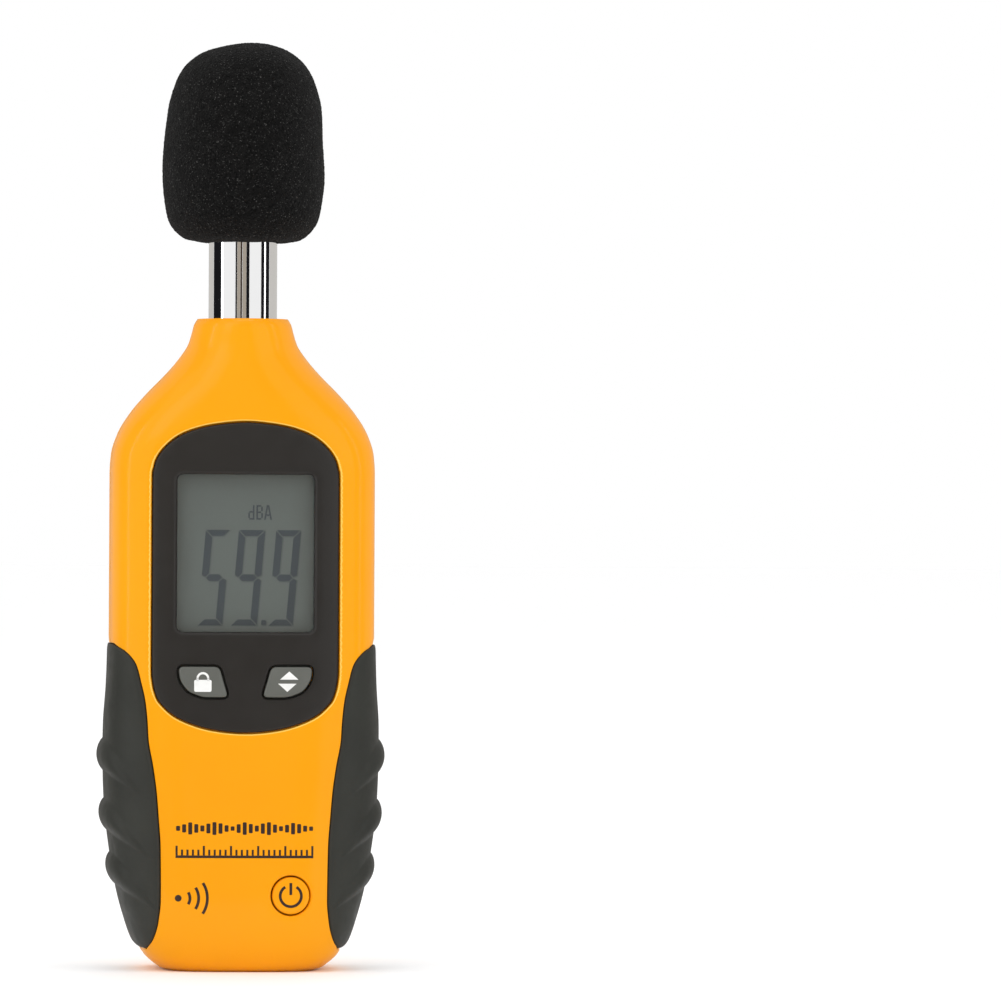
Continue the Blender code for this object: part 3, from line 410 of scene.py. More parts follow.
def turned(name, profile, count, axis="Z", centre=(0, 0, 0), mats=(), angle=35.0, turn=0.0):
    """A profile of (radius, height) turned about an axis; it may start and end on the axis."""
    points, rows = [], []
    for r, h in profile:
        if r < 1e-6:
            rows.append([len(points)] * count)
            points.append((0.0, 0.0, h))
            continue
        rows.append(list(range(len(points), len(points) + count)))
        for i in range(count):
            a = 2 * math.pi * i / count + turn
            points.append((r * math.cos(a), r * math.sin(a), h))
    closed = profile[0][0] > 1e-6
    faces = []
    for k in range(len(rows) if closed else len(rows) - 1):
        first, second = rows[k], rows[(k + 1) % len(rows)]
        for i in range(count):
            j = (i + 1) % count
            face = []
            for v in (first[i], first[j], second[j], second[i]):
                if v not in face:
                    face.append(v)
            if len(face) > 2:
                faces.append(tuple(face))
    if axis == "Y":
        points = [(x, h, z) for x, z, h in points]
    points = [(x + centre[0], y + centre[1], z + centre[2]) for x, y, z in points]
    return make(name, points, faces, mats, angle)


def arc(cx, cy, r, start, end, count=6):
    """Points of (radius, height) along an arc, in degrees."""
    return [(cx + r * math.cos(math.radians(start + (end - start) * i / (count - 1))),
             cy + r * math.sin(math.radians(start + (end - start) * i / (count - 1)))) for i in range(count)]


def swept(name, route, radius, mats=(), sides=14, fine=0.35, angle=60.0):
    """A round lead along a smooth line through its route's points, with rounded ends."""
    pts = np.array(route, float)
    pad = np.vstack([2 * pts[0] - pts[1], pts, 2 * pts[-1] - pts[-2]])
    line = []
    for i in range(1, len(pad) - 2):
        p0, p1, p2, p3 = pad[i - 1 : i + 3]
        steps = max(2, int(np.linalg.norm(p2 - p1) / fine))
        for k in range(steps):
            t = k / steps
            line.append(0.5 * (2 * p1 + (p2 - p0) * t + (2 * p0 - 5 * p1 + 4 * p2 - p3) * t**2
                               + (3 * p1 - p0 - 3 * p2 + p3) * t**3))
    line.append(pts[-1])
    line = np.array(line)
    tangent = np.gradient(line, axis=0)
    tangent /= np.linalg.norm(tangent, axis=1)[:, None]
    side = np.cross(tangent[0], (0.3, 0.9, 0.2))
    side /= np.linalg.norm(side)
    rings = []
    for k, (p, t) in enumerate(zip(line, tangent)):
        side = side - t * (side @ t)
        side /= np.linalg.norm(side)
        up = np.cross(t, side)
        r = radius * (0.8 if k in (0, len(line) - 1) else 1.0)
        rings.append([tuple(p + r * (math.cos(a) * side + math.sin(a) * up))
                      for a in (2 * math.pi * i / sides for i in range(sides))])
    return rings_solid(name, rings, mats, angle)


ROUND = ((0.0, 1.0), (0.076, 0.617), (0.293, 0.293), (0.617, 0.076), (1.0, 0.0))


def woven(name, boundary, top, under, grid, pockets=(), through=(), below=(), lines=(), cap=False, mats=(),
          angle=35.0, clear=0.3):
    """A closed shell over a flat domain. top(points, sink) and under(points, sink) place a domain point in space.

    pockets are (outline, rank, place, radius, parent rank); through are (outline, radius, parent rank); below are
    (outline, rank, place) on the under side; lines are (points, radius) of the boundary whose edge is rounded; grid
    is the list of points that carry the form between the outlines. The top is rank 0 and the under side rank 50."""
    verts, edges = [], []

    def add(line, closed=True):
        start = len(verts)
        verts.extend((float(a), float(b)) for a, b in line)
        n = len(line)
        edges.extend((start + i, start + (i + 1) % n) for i in range(n if closed else n - 1))

    rims = []
    marks = [(boundary, True)]
    add(boundary)
    for outline, rank, place, radius, parent in pockets:
        add(outline)
        marks.append((outline, True))
        if radius > 0:
            rims.append((outline, True, radius, parent))
            for k, _ in ROUND[1:]:
                ring = grown(outline, radius * k)
                add(ring)
            marks.append((ring, True))
    for outline, radius, parent in through:
        add(outline)
        marks.append((outline, True))
        if radius > 0:
            rims.append((outline, True, radius, parent))
            for k, _ in ROUND[1:]:
                ring = grown(outline, radius * k)
                add(ring)
            marks.append((ring, True))
    for outline, rank, place in below:
        add(outline)
        marks.append((outline, True))
    for line, radius, rings in lines:
        rims.append((line, False, radius, 0))
        for ring in rings:
            add(ring, False)
        marks.append((rings[-1], False))
    grid = np.array(grid, float)
    keep = inside(grid, boundary)
    for line, closed in marks:
        keep &= away(grid, line, closed) > clear
    verts.extend(map(tuple, grid[keep]))
    co, _, tris, *_ = delaunay_2d_cdt([Vector(v) for v in verts], edges, [], 0, 1e-5, False)
    co = np.array([tuple(v) for v in co], float)
    tris = np.array([t for t in tris if len(t) == 3], int)
    p = co[tris]
    area = np.abs((p[:, 1, 0] - p[:, 0, 0]) * (p[:, 2, 1] - p[:, 0, 1])
                  - (p[:, 2, 0] - p[:, 0, 0]) * (p[:, 1, 1] - p[:, 0, 1])) / 2
    middle = p.mean(axis=1)
    good = inside(middle, boundary) & (area > 1e-9)
    for outline, _, _ in through:
        good &= ~inside(middle, outline)
    tris, middle = tris[good], middle[good]
    over, low = np.zeros(len(tris), int), np.full(len(tris), 50)
    place_of = {0: top, 50: under}
    for outline, rank, place, _, _ in pockets:
        over[inside(middle, outline)] = rank
        place_of[rank] = place
    for outline, rank, place in below:
        low[inside(middle, outline)] = rank
        place_of[rank] = place

    # how far each point sinks at each level's rounded rims
    sink = {rank: np.zeros(len(co)) for rank in place_of}
    for line, closed, radius, parent in rims:
        d = np.minimum(away(co, line, closed), radius)
        fall = radius - np.sqrt(np.maximum(radius**2 - (radius - d) ** 2, 0))
        sink[parent] = np.maximum(sink[parent], fall)
    spots, points, index = {}, [], {}

    def vertex(v, rank):
        key = (v, rank)
        if key not in index:
            if rank not in spots:
                spots[rank] = place_of[rank](co, sink[rank])
            index[key] = len(points)
            points.append(spots[rank][v])
        return index[key]

    levels_over, levels_low, sides = {}, {}, {}
    for k, t in enumerate(tris.tolist()):
        for i in range(3):
            a, b = t[i], t[(i + 1) % 3]
            levels_over.setdefault(a, set()).add(over[k])
            levels_low.setdefault(a, set()).add(low[k])
            sides.setdefault((min(a, b), max(a, b)), []).append(k)
    faces = []
    for k, t in enumerate(tris.tolist()):
        faces.append([vertex(v, over[k]) for v in t])
        faces.append([vertex(v, low[k]) for v in t[::-1]])

    def chain(v, first, last, kind):
        if kind == "over":
            return [vertex(v, r) for r in sorted(levels_over[v]) if first <= r <= last]
        if kind == "low":
            return [vertex(v, r) for r in sorted(levels_low[v]) if first <= r <= last]
        return ([vertex(v, r) for r in sorted(levels_over[v]) if r >= first]
                + [vertex(v, r) for r in sorted(levels_low[v]) if r <= last])

    bottom = []
    for (a, b), ks in sides.items():
        if len(ks) == 2:
            for values, kind in ((over, "over"), (low, "low")):
                m, n = sorted((values[ks[0]], values[ks[1]]))
                if m != n:
                    faces.append(chain(a, m, n, kind) + chain(b, m, n, kind)[::-1])
        elif len(ks) == 1:
            k = ks[0]
            if cap and co[a, 1] < 1e-6 and co[b, 1] < 1e-6:
                bottom += [a, b]
                continue
            faces.append(chain(a, over[k], low[k], "side") + chain(b, over[k], low[k], "side")[::-1])
    if cap:
        order = sorted(set(bottom), key=lambda v: co[v, 0])
        outer, inner = [vertex(v, 0) for v in order], [vertex(v, 50) for v in order]
        faces += [outer, inner[::-1], [outer[0], outer[-1], inner[-1], inner[0]]]
    return make(name, points, faces, mats, angle)


def decal(name, shapes, place, mats, thick=0.04, step=1.2):
    """Thin printed marks: each shape is an outline of (x, z), laid on place(x, z, out)."""
    points, faces = [], []
    for shape in shapes:
        shape = clean(dense(shape, step))
        p = np.array(shape)
        if np.sum(p[:, 0] * np.roll(p[:, 1], -1) - np.roll(p[:, 0], -1) * p[:, 1]) < 0:
            shape = shape[::-1]
        start, n = len(points), len(shape)
        x, z = np.array([s[0] for s in shape]), np.array([s[1] for s in shape])
        points += [tuple(p) for p in place(x, z, thick)]
        points += [tuple(p) for p in place(x, z, -0.03)]
        _, _, tris, *_ = delaunay_2d_cdt([Vector(s) for s in shape], [], [list(range(n))], 1, 1e-6, True)
        middles = np.array([[sum(shape[i][k] for i in t) / len(t) for k in (0, 1)] for t in tris])
        for t, within in zip(tris, inside(middles, shape)):
            if within:
                faces.append([start + i for i in t])
                faces.append([start + n + i for i in t][::-1])
        for i in range(n):
            j = (i + 1) % n
            faces.append((start + i, start + n + i, start + n + j, start + j))
    return make(name, points, faces, mats, 30)


def stroke(line, width, closed=False):
    """The outline of a line drawn with a pen of that width, one shape for each run between corners kept whole."""
    p = np.array(line, float)
    if closed:
        t = np.roll(p, -1, axis=0) - np.roll(p, 1, axis=0)
    else:
        t = np.gradient(p, axis=0)
    t /= np.hypot(t[:, 0], t[:, 1])[:, None]
    n = np.stack([-t[:, 1], t[:, 0]], axis=1) * width / 2
    if not closed:
        return [[tuple(v) for v in p + n] + [tuple(v) for v in (p - n)[::-1]]]
    return [[tuple(v) for v in (p + n)], [tuple(v) for v in (p - n)]]


def arc_line(cx, cz, r, start, end, count=24):
    return [(cx + r * math.cos(math.radians(start + (end - start) * i / (count - 1))),
             cz + r * math.sin(math.radians(start + (end - start) * i / (count - 1)))) for i in range(count)]


# ---------------------------------------------------------------- materials
def linear(r, g, b):
    """An 8-bit screen colour as linear light."""
    def one(v):
        v /= 255
        return v / 12.92 if v <= 0.04045 else ((v + 0.055) / 1.055) ** 2.4
    return (one(r), one(g), one(b))


def finish_of(name, colour, rough, metallic=0.0, bump=((3500, 0.15, 0.03),), vary=(0.06, 60), rough_vary=0.08,
              second=None, coat=0.0, sheen=0.0, specular=0.5, speckle=None, subsurface=0.0, detail=3.0,
              anisotropic=0.0, ior=1.45):
    """A procedural finish: colour that drifts a little, roughness that varies, and one or more layers of grain.

    bump is a list of (grain per metre, strength, depth in mm); vary is (share of the colour, patches per metre)."""
    mat = bpy.data.materials.new(name)
    mat.use_nodes = True
    tree = mat.node_tree
    nodes, links = tree.nodes, tree.links
    shader = nodes["Principled BSDF"]
    shader.inputs["Metallic"].default_value = metallic
    shader.inputs["Specular IOR Level"].default_value = specular
    shader.inputs["IOR"].default_value = ior
    shader.inputs["Coat Weight"].default_value = coat
    shader.inputs["Coat Roughness"].default_value = 0.15
    shader.inputs["Sheen Weight"].default_value = sheen
    shader.inputs["Sheen Roughness"].default_value = 0.5
    shader.inputs["Anisotropic"].default_value = anisotropic
    if subsurface:
        shader.inputs["Subsurface Weight"].default_value = subsurface
        shader.inputs["Subsurface Radius"].default_value = (0.0015, 0.0006, 0.0002)
        shader.inputs["Subsurface Scale"].default_value = 1.0
    where = nodes.new("ShaderNodeTexCoord").outputs["Object"]

    def noise_of(scale, detail=3.0, roughness=0.55):
        node = nodes.new("ShaderNodeTexNoise")
        node.inputs["Scale"].default_value = scale
        node.inputs["Detail"].default_value = detail
        node.inputs["Roughness"].default_value = roughness
        links.new(where, node.inputs["Vector"])
        return node

    drift = noise_of(vary[1])
    ramp = nodes.new("ShaderNodeValToRGB")
    dark = tuple(max(0.0, c * (1 - vary[0])) for c in colour)
    light = tuple(min(1.0, c * (1 + vary[0])) for c in colour)
    ramp.color_ramp.elements[0].position, ramp.color_ramp.elements[1].position = 0.3, 0.7
    ramp.color_ramp.elements[0].color = (*dark, 1)
    ramp.color_ramp.elements[1].color = (*(second or light), 1)
    links.new(drift.outputs["Fac"], ramp.inputs["Fac"])
    colour_out = ramp.outputs["Color"]
    if speckle:
        for tint, scale, low, high in speckle:
            dots = noise_of(scale, 2.0, 0.6)
            gate = nodes.new("ShaderNodeMapRange")
            gate.inputs["From Min"].default_value, gate.inputs["From Max"].default_value = low, high
            links.new(dots.outputs["Fac"], gate.inputs["Value"])
            mix = nodes.new("ShaderNodeMix")
            mix.data_type = "RGBA"
            links.new(gate.outputs["Result"], mix.inputs["Factor"])
            links.new(colour_out, mix.inputs["A"])
            mix.inputs["B"].default_value = (*tint, 1)
            colour_out = mix.outputs["Result"]
    links.new(colour_out, shader.inputs["Base Color"])
    patch = noise_of(vary[1] * 4, 4.0)
    spread = nodes.new("ShaderNodeMapRange")
    spread.inputs["From Min"].default_value, spread.inputs["From Max"].default_value = 0.3, 0.7
    spread.inputs["To Min"].default_value = max(0.02, rough - rough_vary)
    spread.inputs["To Max"].default_value = min(1.0, rough + rough_vary)
    links.new(patch.outputs["Fac"], spread.inputs["Value"])
    links.new(spread.outputs["Result"], shader.inputs["Roughness"])
    last = None
    for scale, strength, depth in bump:
        grain = noise_of(scale, detail)
        node = nodes.new("ShaderNodeBump")
        node.inputs["Strength"].default_value = strength
        node.inputs["Distance"].default_value = depth * MM
        links.new(grain.outputs["Fac"], node.inputs["Height"])
        if last:
            links.new(last.outputs["Normal"], node.inputs["Normal"])
        last = node
    if last:
        links.new(last.outputs["Normal"], shader.inputs["Normal"])
    return mat


ORANGE = finish_of("casing orange", (0.885, 0.338, 0.0008), 0.4, bump=((5200, 0.35, 0.012), (900, 0.12, 0.02)),
                   vary=(0.025, 40), rough_vary=0.05, specular=0.08, coat=0.25)
# a lighter orange for a thin band of faces round the bezel pocket's rim: a painted highlight standing for light caught
# on the rounded rim; its higher gloss and coat are real
ORANGE_RIM_PAINTED_HIGHLIGHT = finish_of("casing rim painted highlight", (0.95, 0.56, 0.085), 0.3, bump=((5200, 0.2, 0.01),), vary=(0.03, 60),
                        rough_vary=0.05, specular=0.3, coat=0.4)
RUBBER = finish_of("grip rubber", (0.0235, 0.0245, 0.0195), 0.6, bump=((4200, 0.4, 0.02), (700, 0.1, 0.04)),
                   vary=(0.12, 90), rough_vary=0.08, specular=0.42)
PANEL = finish_of("display panel", (0.0195, 0.017, 0.0148), 0.42, bump=((6000, 0.3, 0.012),), vary=(0.08, 70),
                  rough_vary=0.05, specular=0.36)
KEY_GREY = finish_of("key grey", (0.108, 0.111, 0.098), 0.5, bump=((5200, 0.35, 0.014),), vary=(0.06, 120))
INK = finish_of("printed ink", (0.030, 0.012, 0.006), 0.5, bump=((8000, 0.2, 0.006),), vary=(0.15, 500))
WHITE_INK = finish_of("white ink", (0.82, 0.82, 0.80), 0.5, bump=((8000, 0.2, 0.006),), vary=(0.05, 500))
GREY_INK = finish_of("grey ink", (0.10, 0.10, 0.10), 0.5, bump=((8000, 0.2, 0.006),), vary=(0.1, 500))
CHROME = finish_of("chrome", (0.86, 0.86, 0.86), 0.055, 1.0, bump=((2500, 0.05, 0.002),), vary=(0.02, 80),
                   rough_vary=0.02)
NICKEL = finish_of("nickel plate", (0.72, 0.70, 0.66), 0.16, 1.0, bump=((5000, 0.15, 0.006),), vary=(0.06, 150),
                   rough_vary=0.06)
BRASS = finish_of("plated brass", (0.66, 0.50, 0.27), 0.2, 1.0, bump=((4000, 0.15, 0.008),), vary=(0.1, 200),
                  second=(0.78, 0.70, 0.55), rough_vary=0.07)
STEEL = finish_of("steel", (0.42, 0.42, 0.42), 0.32, 1.0, bump=((5000, 0.25, 0.01),), vary=(0.12, 300),
                  rough_vary=0.08)
BLACK = finish_of("black plastic", (0.016, 0.016, 0.016), 0.42, bump=((5000, 0.3, 0.015),), vary=(0.15, 120))
VINYL = finish_of("black vinyl", (0.012, 0.012, 0.013), 0.3, bump=((2600, 0.3, 0.03), (700, 0.2, 0.06)),
                  vary=(0.15, 120), rough_vary=0.1)
RED = finish_of("red lead insulation", (0.55, 0.008, 0.01), 0.36, bump=((2200, 0.2, 0.02),), vary=(0.1, 150))
BLACK_LEAD = finish_of("black lead insulation", (0.012, 0.012, 0.012), 0.36, bump=((2200, 0.2, 0.02),),
                       vary=(0.1, 150))
FOAM_MAT = finish_of("open-cell foam", (0.0052, 0.005, 0.0048), 0.97, bump=((2600, 1.0, 0.3), (5200, 1.0, 0.14)),
                     vary=(0.4, 700), rough_vary=0.03, specular=0.12, sheen=0.035,
                     speckle=(((0.0008, 0.0008, 0.0008), 2300, 0.52, 0.62), ((0.085, 0.083, 0.08), 3400, 0.62, 0.71)))
WHITE = finish_of("white plastic", (0.76, 0.76, 0.73), 0.45, bump=((5000, 0.2, 0.012),), vary=(0.04, 80))
LABEL = finish_of("label film", (0.70, 0.71, 0.72), 0.34, 0.15, bump=((3000, 0.12, 0.01),), vary=(0.04, 90),
                  rough_vary=0.06)
BOARD = finish_of("circuit board", (0.008, 0.11, 0.035), 0.35, bump=((1400, 0.4, 0.03),), vary=(0.35, 350))
STRIP = finish_of("contact rubber", (0.3, 0.08, 0.10), 0.6, bump=((2600, 0.4, 0.03),), vary=(0.15, 250))
CAN = finish_of("aluminium can", (0.62, 0.62, 0.64), 0.28, 1.0, bump=((2200, 0.2, 0.012),), vary=(0.08, 160))
JACKET = finish_of("battery jacket", (0.02, 0.022, 0.026), 0.26, 0.3, bump=((1800, 0.1, 0.02),), vary=(0.1, 60),
                   coat=0.4)
JACKET_BAND = finish_of("battery band", (0.50, 0.36, 0.17), 0.24, 0.8, bump=((1800, 0.1, 0.02),), vary=(0.06, 60),
                        coat=0.3)
FOAM_PAD = finish_of("pad foam", (0.012, 0.012, 0.012), 0.95, bump=((2600, 0.9, 0.15),), vary=(0.3, 400),
                     specular=0.2)
CORD_BLACK = BLACK_LEAD
LCD_MAT = finish_of("liquid crystal glass", linear(102, 107, 105), 0.35, bump=(), vary=(0.02, 14), rough_vary=0.01,
                    specular=0.4)
SEGMENT = finish_of("crystal segment", linear(63, 70, 78), 0.35, bump=(), vary=(0.03, 60), rough_vary=0.01,
                    specular=0.4)
# the shadow that the segments throw on the reflector, painted as a faint darker tint
LCD_PAINTED_SHADOW = finish_of("crystal painted shadow", linear(90, 95, 95), 0.35, bump=(), vary=(0.03, 60), rough_vary=0.01,
                  specular=0.4)


def clear_material():
    """A clear acrylic pane: what is behind shows, and its face mirrors a little."""
    mat = bpy.data.materials.new("clear acrylic")
    mat.use_nodes = True
    tree = mat.node_tree
    nodes, links = tree.nodes, tree.links
    nodes.clear()
    out = nodes.new("ShaderNodeOutputMaterial")
    mix = nodes.new("ShaderNodeMixShader")
    see = nodes.new("ShaderNodeBsdfTransparent")
    see.inputs["Color"].default_value = (0.95, 0.965, 0.96, 1)
    gloss = nodes.new("ShaderNodeBsdfGlossy")
    gloss.inputs["Color"].default_value = (1, 1, 1, 1)
    gloss.inputs["Roughness"].default_value = 0.06
    facing = nodes.new("ShaderNodeLayerWeight")
    facing.inputs["Blend"].default_value = 0.5
    power = nodes.new("ShaderNodeMath")
    power.operation = "POWER"
    power.inputs[1].default_value = 5.0
    glance = nodes.new("ShaderNodeMath")
    glance.operation = "MULTIPLY_ADD"
    glance.inputs[1].default_value = 0.966
    glance.inputs[2].default_value = 0.034
    links.new(facing.outputs["Facing"], power.inputs[0])
    links.new(power.outputs["Value"], glance.inputs[0])
    grain = nodes.new("ShaderNodeTexNoise")
    grain.inputs["Scale"].default_value = 900
    links.new(nodes.new("ShaderNodeTexCoord").outputs["Object"], grain.inputs["Vector"])
    bump = nodes.new("ShaderNodeBump")
    bump.inputs["Strength"].default_value = 0.03
    bump.inputs["Distance"].default_value = 2e-6
    links.new(grain.outputs["Fac"], bump.inputs["Height"])
    links.new(bump.outputs["Normal"], gloss.inputs["Normal"])
    links.new(glance.outputs["Value"], mix.inputs["Fac"])
    links.new(see.outputs["BSDF"], mix.inputs[1])
    links.new(gloss.outputs["BSDF"], mix.inputs[2])
    links.new(mix.outputs["Shader"], out.inputs["Surface"])
    return mat


CLEAR = clear_material()


def settle(obj, body, slot, *nodes):
    """The piece rides on its body and stands for the CAD nodes, which are hidden. slot is not used."""
    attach(obj, body)
    if nodes:
        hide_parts(*nodes)
    return obj


# ---------------------------------------------------------------- casing halves
def skin_grid(skin, z0=0.0, z1=BODY_TOP, step=1.15):
    zs = np.concatenate([[0.5, 0.9, 1.4, 2.0, 2.7, 3.5, 4.4, 5.4], np.arange(6.5, 90, 1.25), np.arange(90.3, 112, 0.9),
                         np.arange(112.2, BODY_TOP - 0.2, 0.6)])
    out = []
    for k, z in enumerate(zs):
        if z0 < z < z1:
            w = float(skin.width(z))
            n = int(2 * w / step)
            out += [(w * (2 * (i + 0.5 * (k % 2)) / n - 1), z) for i in range(1, n)]
    return out


def casing_boundary(skin, seat_low, seat_high):
    rise = sorted(set(np.round(np.concatenate([
        [0, 0.15, 0.35, 0.7, 1.1, 1.7, 2.4, 3.1, 3.9, seat_low, 4.9, 6.0], np.arange(7.2, 60, 1.2),
        [seat_high], np.arange(61.2, 112, 1.1), np.arange(112.4, BODY_TOP, 0.6), [BODY_TOP]]), 5).tolist()))
    w0, w1 = float(skin.width(0)), float(skin.width(BODY_TOP))
    out = [(s, 0.0) for s in np.linspace(-w0, w0, 61)[:-1]]
    out += [(float(skin.width(z)), z) for z in rise[:-1]]
    out += [(s, BODY_TOP) for s in np.linspace(w1, -w1, 49)[:-1]]
    out += [(-float(skin.width(z)), z) for z in rise[1:][::-1]]
    return out, rise


def seat_outline(skin, hand, grow, rise, seat_low, seat_high):
    zs = [z for z in rise if seat_low - 1e-6 <= z <= seat_high + 1e-6]
    fine = np.linspace(seat_low, seat_high, 90)
    edge = np.minimum(grip_edge[skin.side](np.clip(fine, GRIP_BOTTOM, GRIP_TOP)) - grow, half_width(fine) - 0.15)
    inner = skin.lay([(hand * e, z) for e, z in zip(edge, fine)])
    return inner + [(hand * float(skin.width(z)), z) for z in zs[::-1]]


def seam_lines(skin, rise, radius):
    """The two long edges at the parting plane, with the rings of points that round them."""
    out = []
    for hand in (-1, 1):
        line = [(hand * float(skin.width(z)), z) for z in rise]
        rings = [[(hand * (float(skin.width(z)) - radius * k), z) for z in rise[1:-1]] for k, _ in ROUND[1:]]
        out.append((line, radius, rings))
    return out


def over_skin(skin, out=0.0):
    return lambda p, sink: skin.at(p[:, 0], p[:, 1], out - sink)


def straight(skin, out):
    """A pocket floor that follows the form at a depth, straight behind its outline."""
    def place(p, sink):
        spot = skin.at(p[:, 0], p[:, 1])
        spot[:, 1] = skin.depth(spot[:, 0], p[:, 1], out - sink)
        return spot
    return place


def flat(skin, y):
    def place(p, sink):
        spot = skin.at(p[:, 0], p[:, 1])
        spot[:, 1] = y - skin.side * sink
        return spot
    return place


def cavity(skin):
    def place(p, sink):
        u = np.clip(p[:, 0] / skin.width(p[:, 1]), -1, 1)
        z = np.where(p[:, 1] < 8, CAVITY_BOTTOM + p[:, 1] / 8 * (8 - CAVITY_BOTTOM), p[:, 1])
        spot = skin.at(None, z, -WALL, u=u)
        r = np.hypot(spot[:, 0], spot[:, 1])
        tight = (r < 6.65) & (z > 100)
        spot[tight, :2] *= (6.65 / np.maximum(r[tight], 1e-6))[:, None]
        on_seam = np.abs(np.abs(u) - 1) < 1e-6
        spot[on_seam, 1] = skin.side * SEAM
        return spot
    return place


SEAT_GROW = 0.2
seat_low, seat_high = GRIP_BOTTOM - SEAT_GROW, GRIP_TOP + SEAT_GROW

skin = skins[-1]
boundary, rise = casing_boundary(skin, seat_low, seat_high)
bezel_outline = smooth_outline(BEZEL_HALF, 6)
lay = lambda outline: clean(skin.lay(outline))
pockets = [(seat_outline(skin, hand, SEAT_GROW, rise, seat_low, seat_high), 2, over_skin(skin, -1.3), 0.0, 0)
           for hand in (-1, 1)]
pockets.append((lay(grown(dense(bezel_outline, 0.8), 0.28)), 3, straight(skin, -1.65), 0.42, 0))
key_outline = dense(clean(filleted(KEY_CORNERS, 1.0, 7)), 0.5)
through = [(lay(dense(rounded(-14.0, 14.0, 61.2, 93.2, 1.2), 1.2)), 0.0, 0),
           (lay(dense(grown(key_outline, 0.5), 0.8)), 0.0, 0), (lay(dense(grown(mirrored(key_outline), 0.5), 0.8)), 0.0, 0),
           (lay(circle(POWER_X, POWER_Z, POWER_R + 0.27, 56)), 0.42, 0)]
front = woven("casing_front", boundary, over_skin(skin), cavity(skin), skin_grid(skin), pockets, through, (),
              seam_lines(skin, rise, 0.3), True, ORANGE)
# forward-facing faces in a thin band just outside the bezel pocket's outline take the lighter orange, a painted
# highlight along the rim
front.data.materials.append(ORANGE_RIM_PAINTED_HIGHLIGHT)
rim_line = grown(dense(bezel_outline, 0.8), 0.28)
middles = np.array([tuple(poly.center) for poly in front.data.polygons]) / MM
off = away(middles[:, [0, 2]], rim_line)
painted_highlight_band = (middles[:, 1] < -8) & (off > 0.03) & (off < 0.3) & ~inside(middles[:, [0, 2]], rim_line)
facing = np.array([poly.normal.y < -0.2 for poly in front.data.polygons])
for i in np.nonzero(painted_highlight_band & facing)[0]:
    front.data.polygons[int(i)].material_index = 1
settle(front, "casing", "casing", "front_shell")

skin = skins[1]
boundary, rise = casing_boundary(skin, seat_low, seat_high)
door_outline = dense(rounded(*DOOR, 10), 0.9)
serial_outline = dense(rounded(-15.4, 15.4, 76.6, 82.4, 0.9, 6), 0.9)
bay_outline = dense(rounded(-BAY_HALF_WIDTH, BAY_HALF_WIDTH, BAY_BOTTOM, BAY_TOP, 1.4, 7), 1.0)
bay_out = dense(rounded(-(BAY_HALF_WIDTH + BAY_WALL), BAY_HALF_WIDTH + BAY_WALL, BAY_BOTTOM - BAY_WALL,
                        BAY_TOP + BAY_WALL, 1.6, 4), 1.5)
pockets = [(seat_outline(skin, hand, SEAT_GROW, rise, seat_low, seat_high), 2, over_skin(skin, -1.3), 0.0, 0)
           for hand in (-1, 1)]
pockets += [
    (lay(grown(door_outline, 0.28)), 3, straight(skin, -(DOOR_SET_IN + DOOR_THICK + GAP)), 0.35, 0),
    (lay(bay_outline), 6, flat(skin, BAY_FLOOR), 0.35, 3),
    (lay(circle(-8.6, 15.5, 2.6, 36)), 8, flat(skin, -6.2), 0.2, 6),
    (lay(grown(serial_outline, 0.14)), 4, straight(skin, -0.3), 0.14, 0),
    (lay(circle(0, BUSH_Z, BUSH_R + 0.14, 64)), 7, flat(skin, 5.0), 0.3, 0),
]
pockets += [(lay(circle(x, 103.3, 2.6, 44)), 5, flat(skin, 6.5), 0.4, 0) for x in (-14.3, 14.3)]
below = [(lay(dense(rounded(-19.3, 19.3, 7.0, 77.5, 1.0, 3), 2.0)), 60, flat(skin, 8.5)),
         (lay(bay_out), 70, flat(skin, BAY_FLOOR - BAY_WALL)),
         (lay(circle(-8.6, 15.5, 3.2, 24)), 72, flat(skin, -7.2)),
         (lay(circle(0, BUSH_Z, 6.4, 32)), 62, flat(skin, 4.6))]
below += [(lay(circle(x, 103.3, 3.3, 24)), 65, flat(skin, 0.4)) for x in (-14.3, 14.3)]
rear = woven("casing_rear", boundary, over_skin(skin), cavity(skin), skin_grid(skin), pockets, (), below,
             seam_lines(skin, rise, 0.3), True, ORANGE)
for lo, hi in ((-12.4, -5.6), (5.6, 12.4)):
    combine(rear, box("tongue pocket", lo, hi, 10.35, 13.1, 7.5, 12.2), "DIFFERENCE")
combine(rear, box("latch slot", -3.4, 3.4, 8.0, 14.5, 71.35, 73.25, edge=0.35), "DIFFERENCE")
combine(rear, box("lead hole", 2.0, 7.4, -4.4, -0.8, 68, 72, edge=0.3), "DIFFERENCE")
combine(rear, box("pad window", 12, 16, 2.0, 8.0, 24.0, 46.0), "DIFFERENCE")
one_material(rear, ORANGE)
shade(rear, 35)
settle(rear, "casing", "casing", "rear_shell")

# the tongue that lies in the seam, set back from the surface, so that no light comes through the joint of the halves
down = np.linspace(119.6, 4.0, 130)
lean_in = np.sqrt(1 + ((half_width(down + 0.05) - half_width(down - 0.05)) / 0.1) ** 2)
side_run = np.stack([half_width(down) - 1.6 * lean_in, down], axis=1)
run = np.concatenate([side_run, [(15.0, 2.15), (13.6, 1.6)], [(x, 1.6) for x in np.linspace(12.0, -12.0, 13)],
                      [(-13.6, 1.6), (-15.0, 2.15)], side_run[::-1] * (-1, 1)])
along = np.gradient(run, axis=0)
across = np.stack([along[:, 1], -along[:, 0]], axis=1) / np.hypot(along[:, 0], along[:, 1])[:, None]
rings = []
for spot, way in zip(run, across):
    (ax, az), (bx, bz) = spot + 0.3 * way, spot - 0.3 * way
    rings.append([(ax, -0.13, az), (ax, 0.13, az), (bx, 0.13, bz), (bx, -0.13, bz)])
settle(rings_solid("seam_tongue", rings, [ORANGE], 35), "casing", "casing")


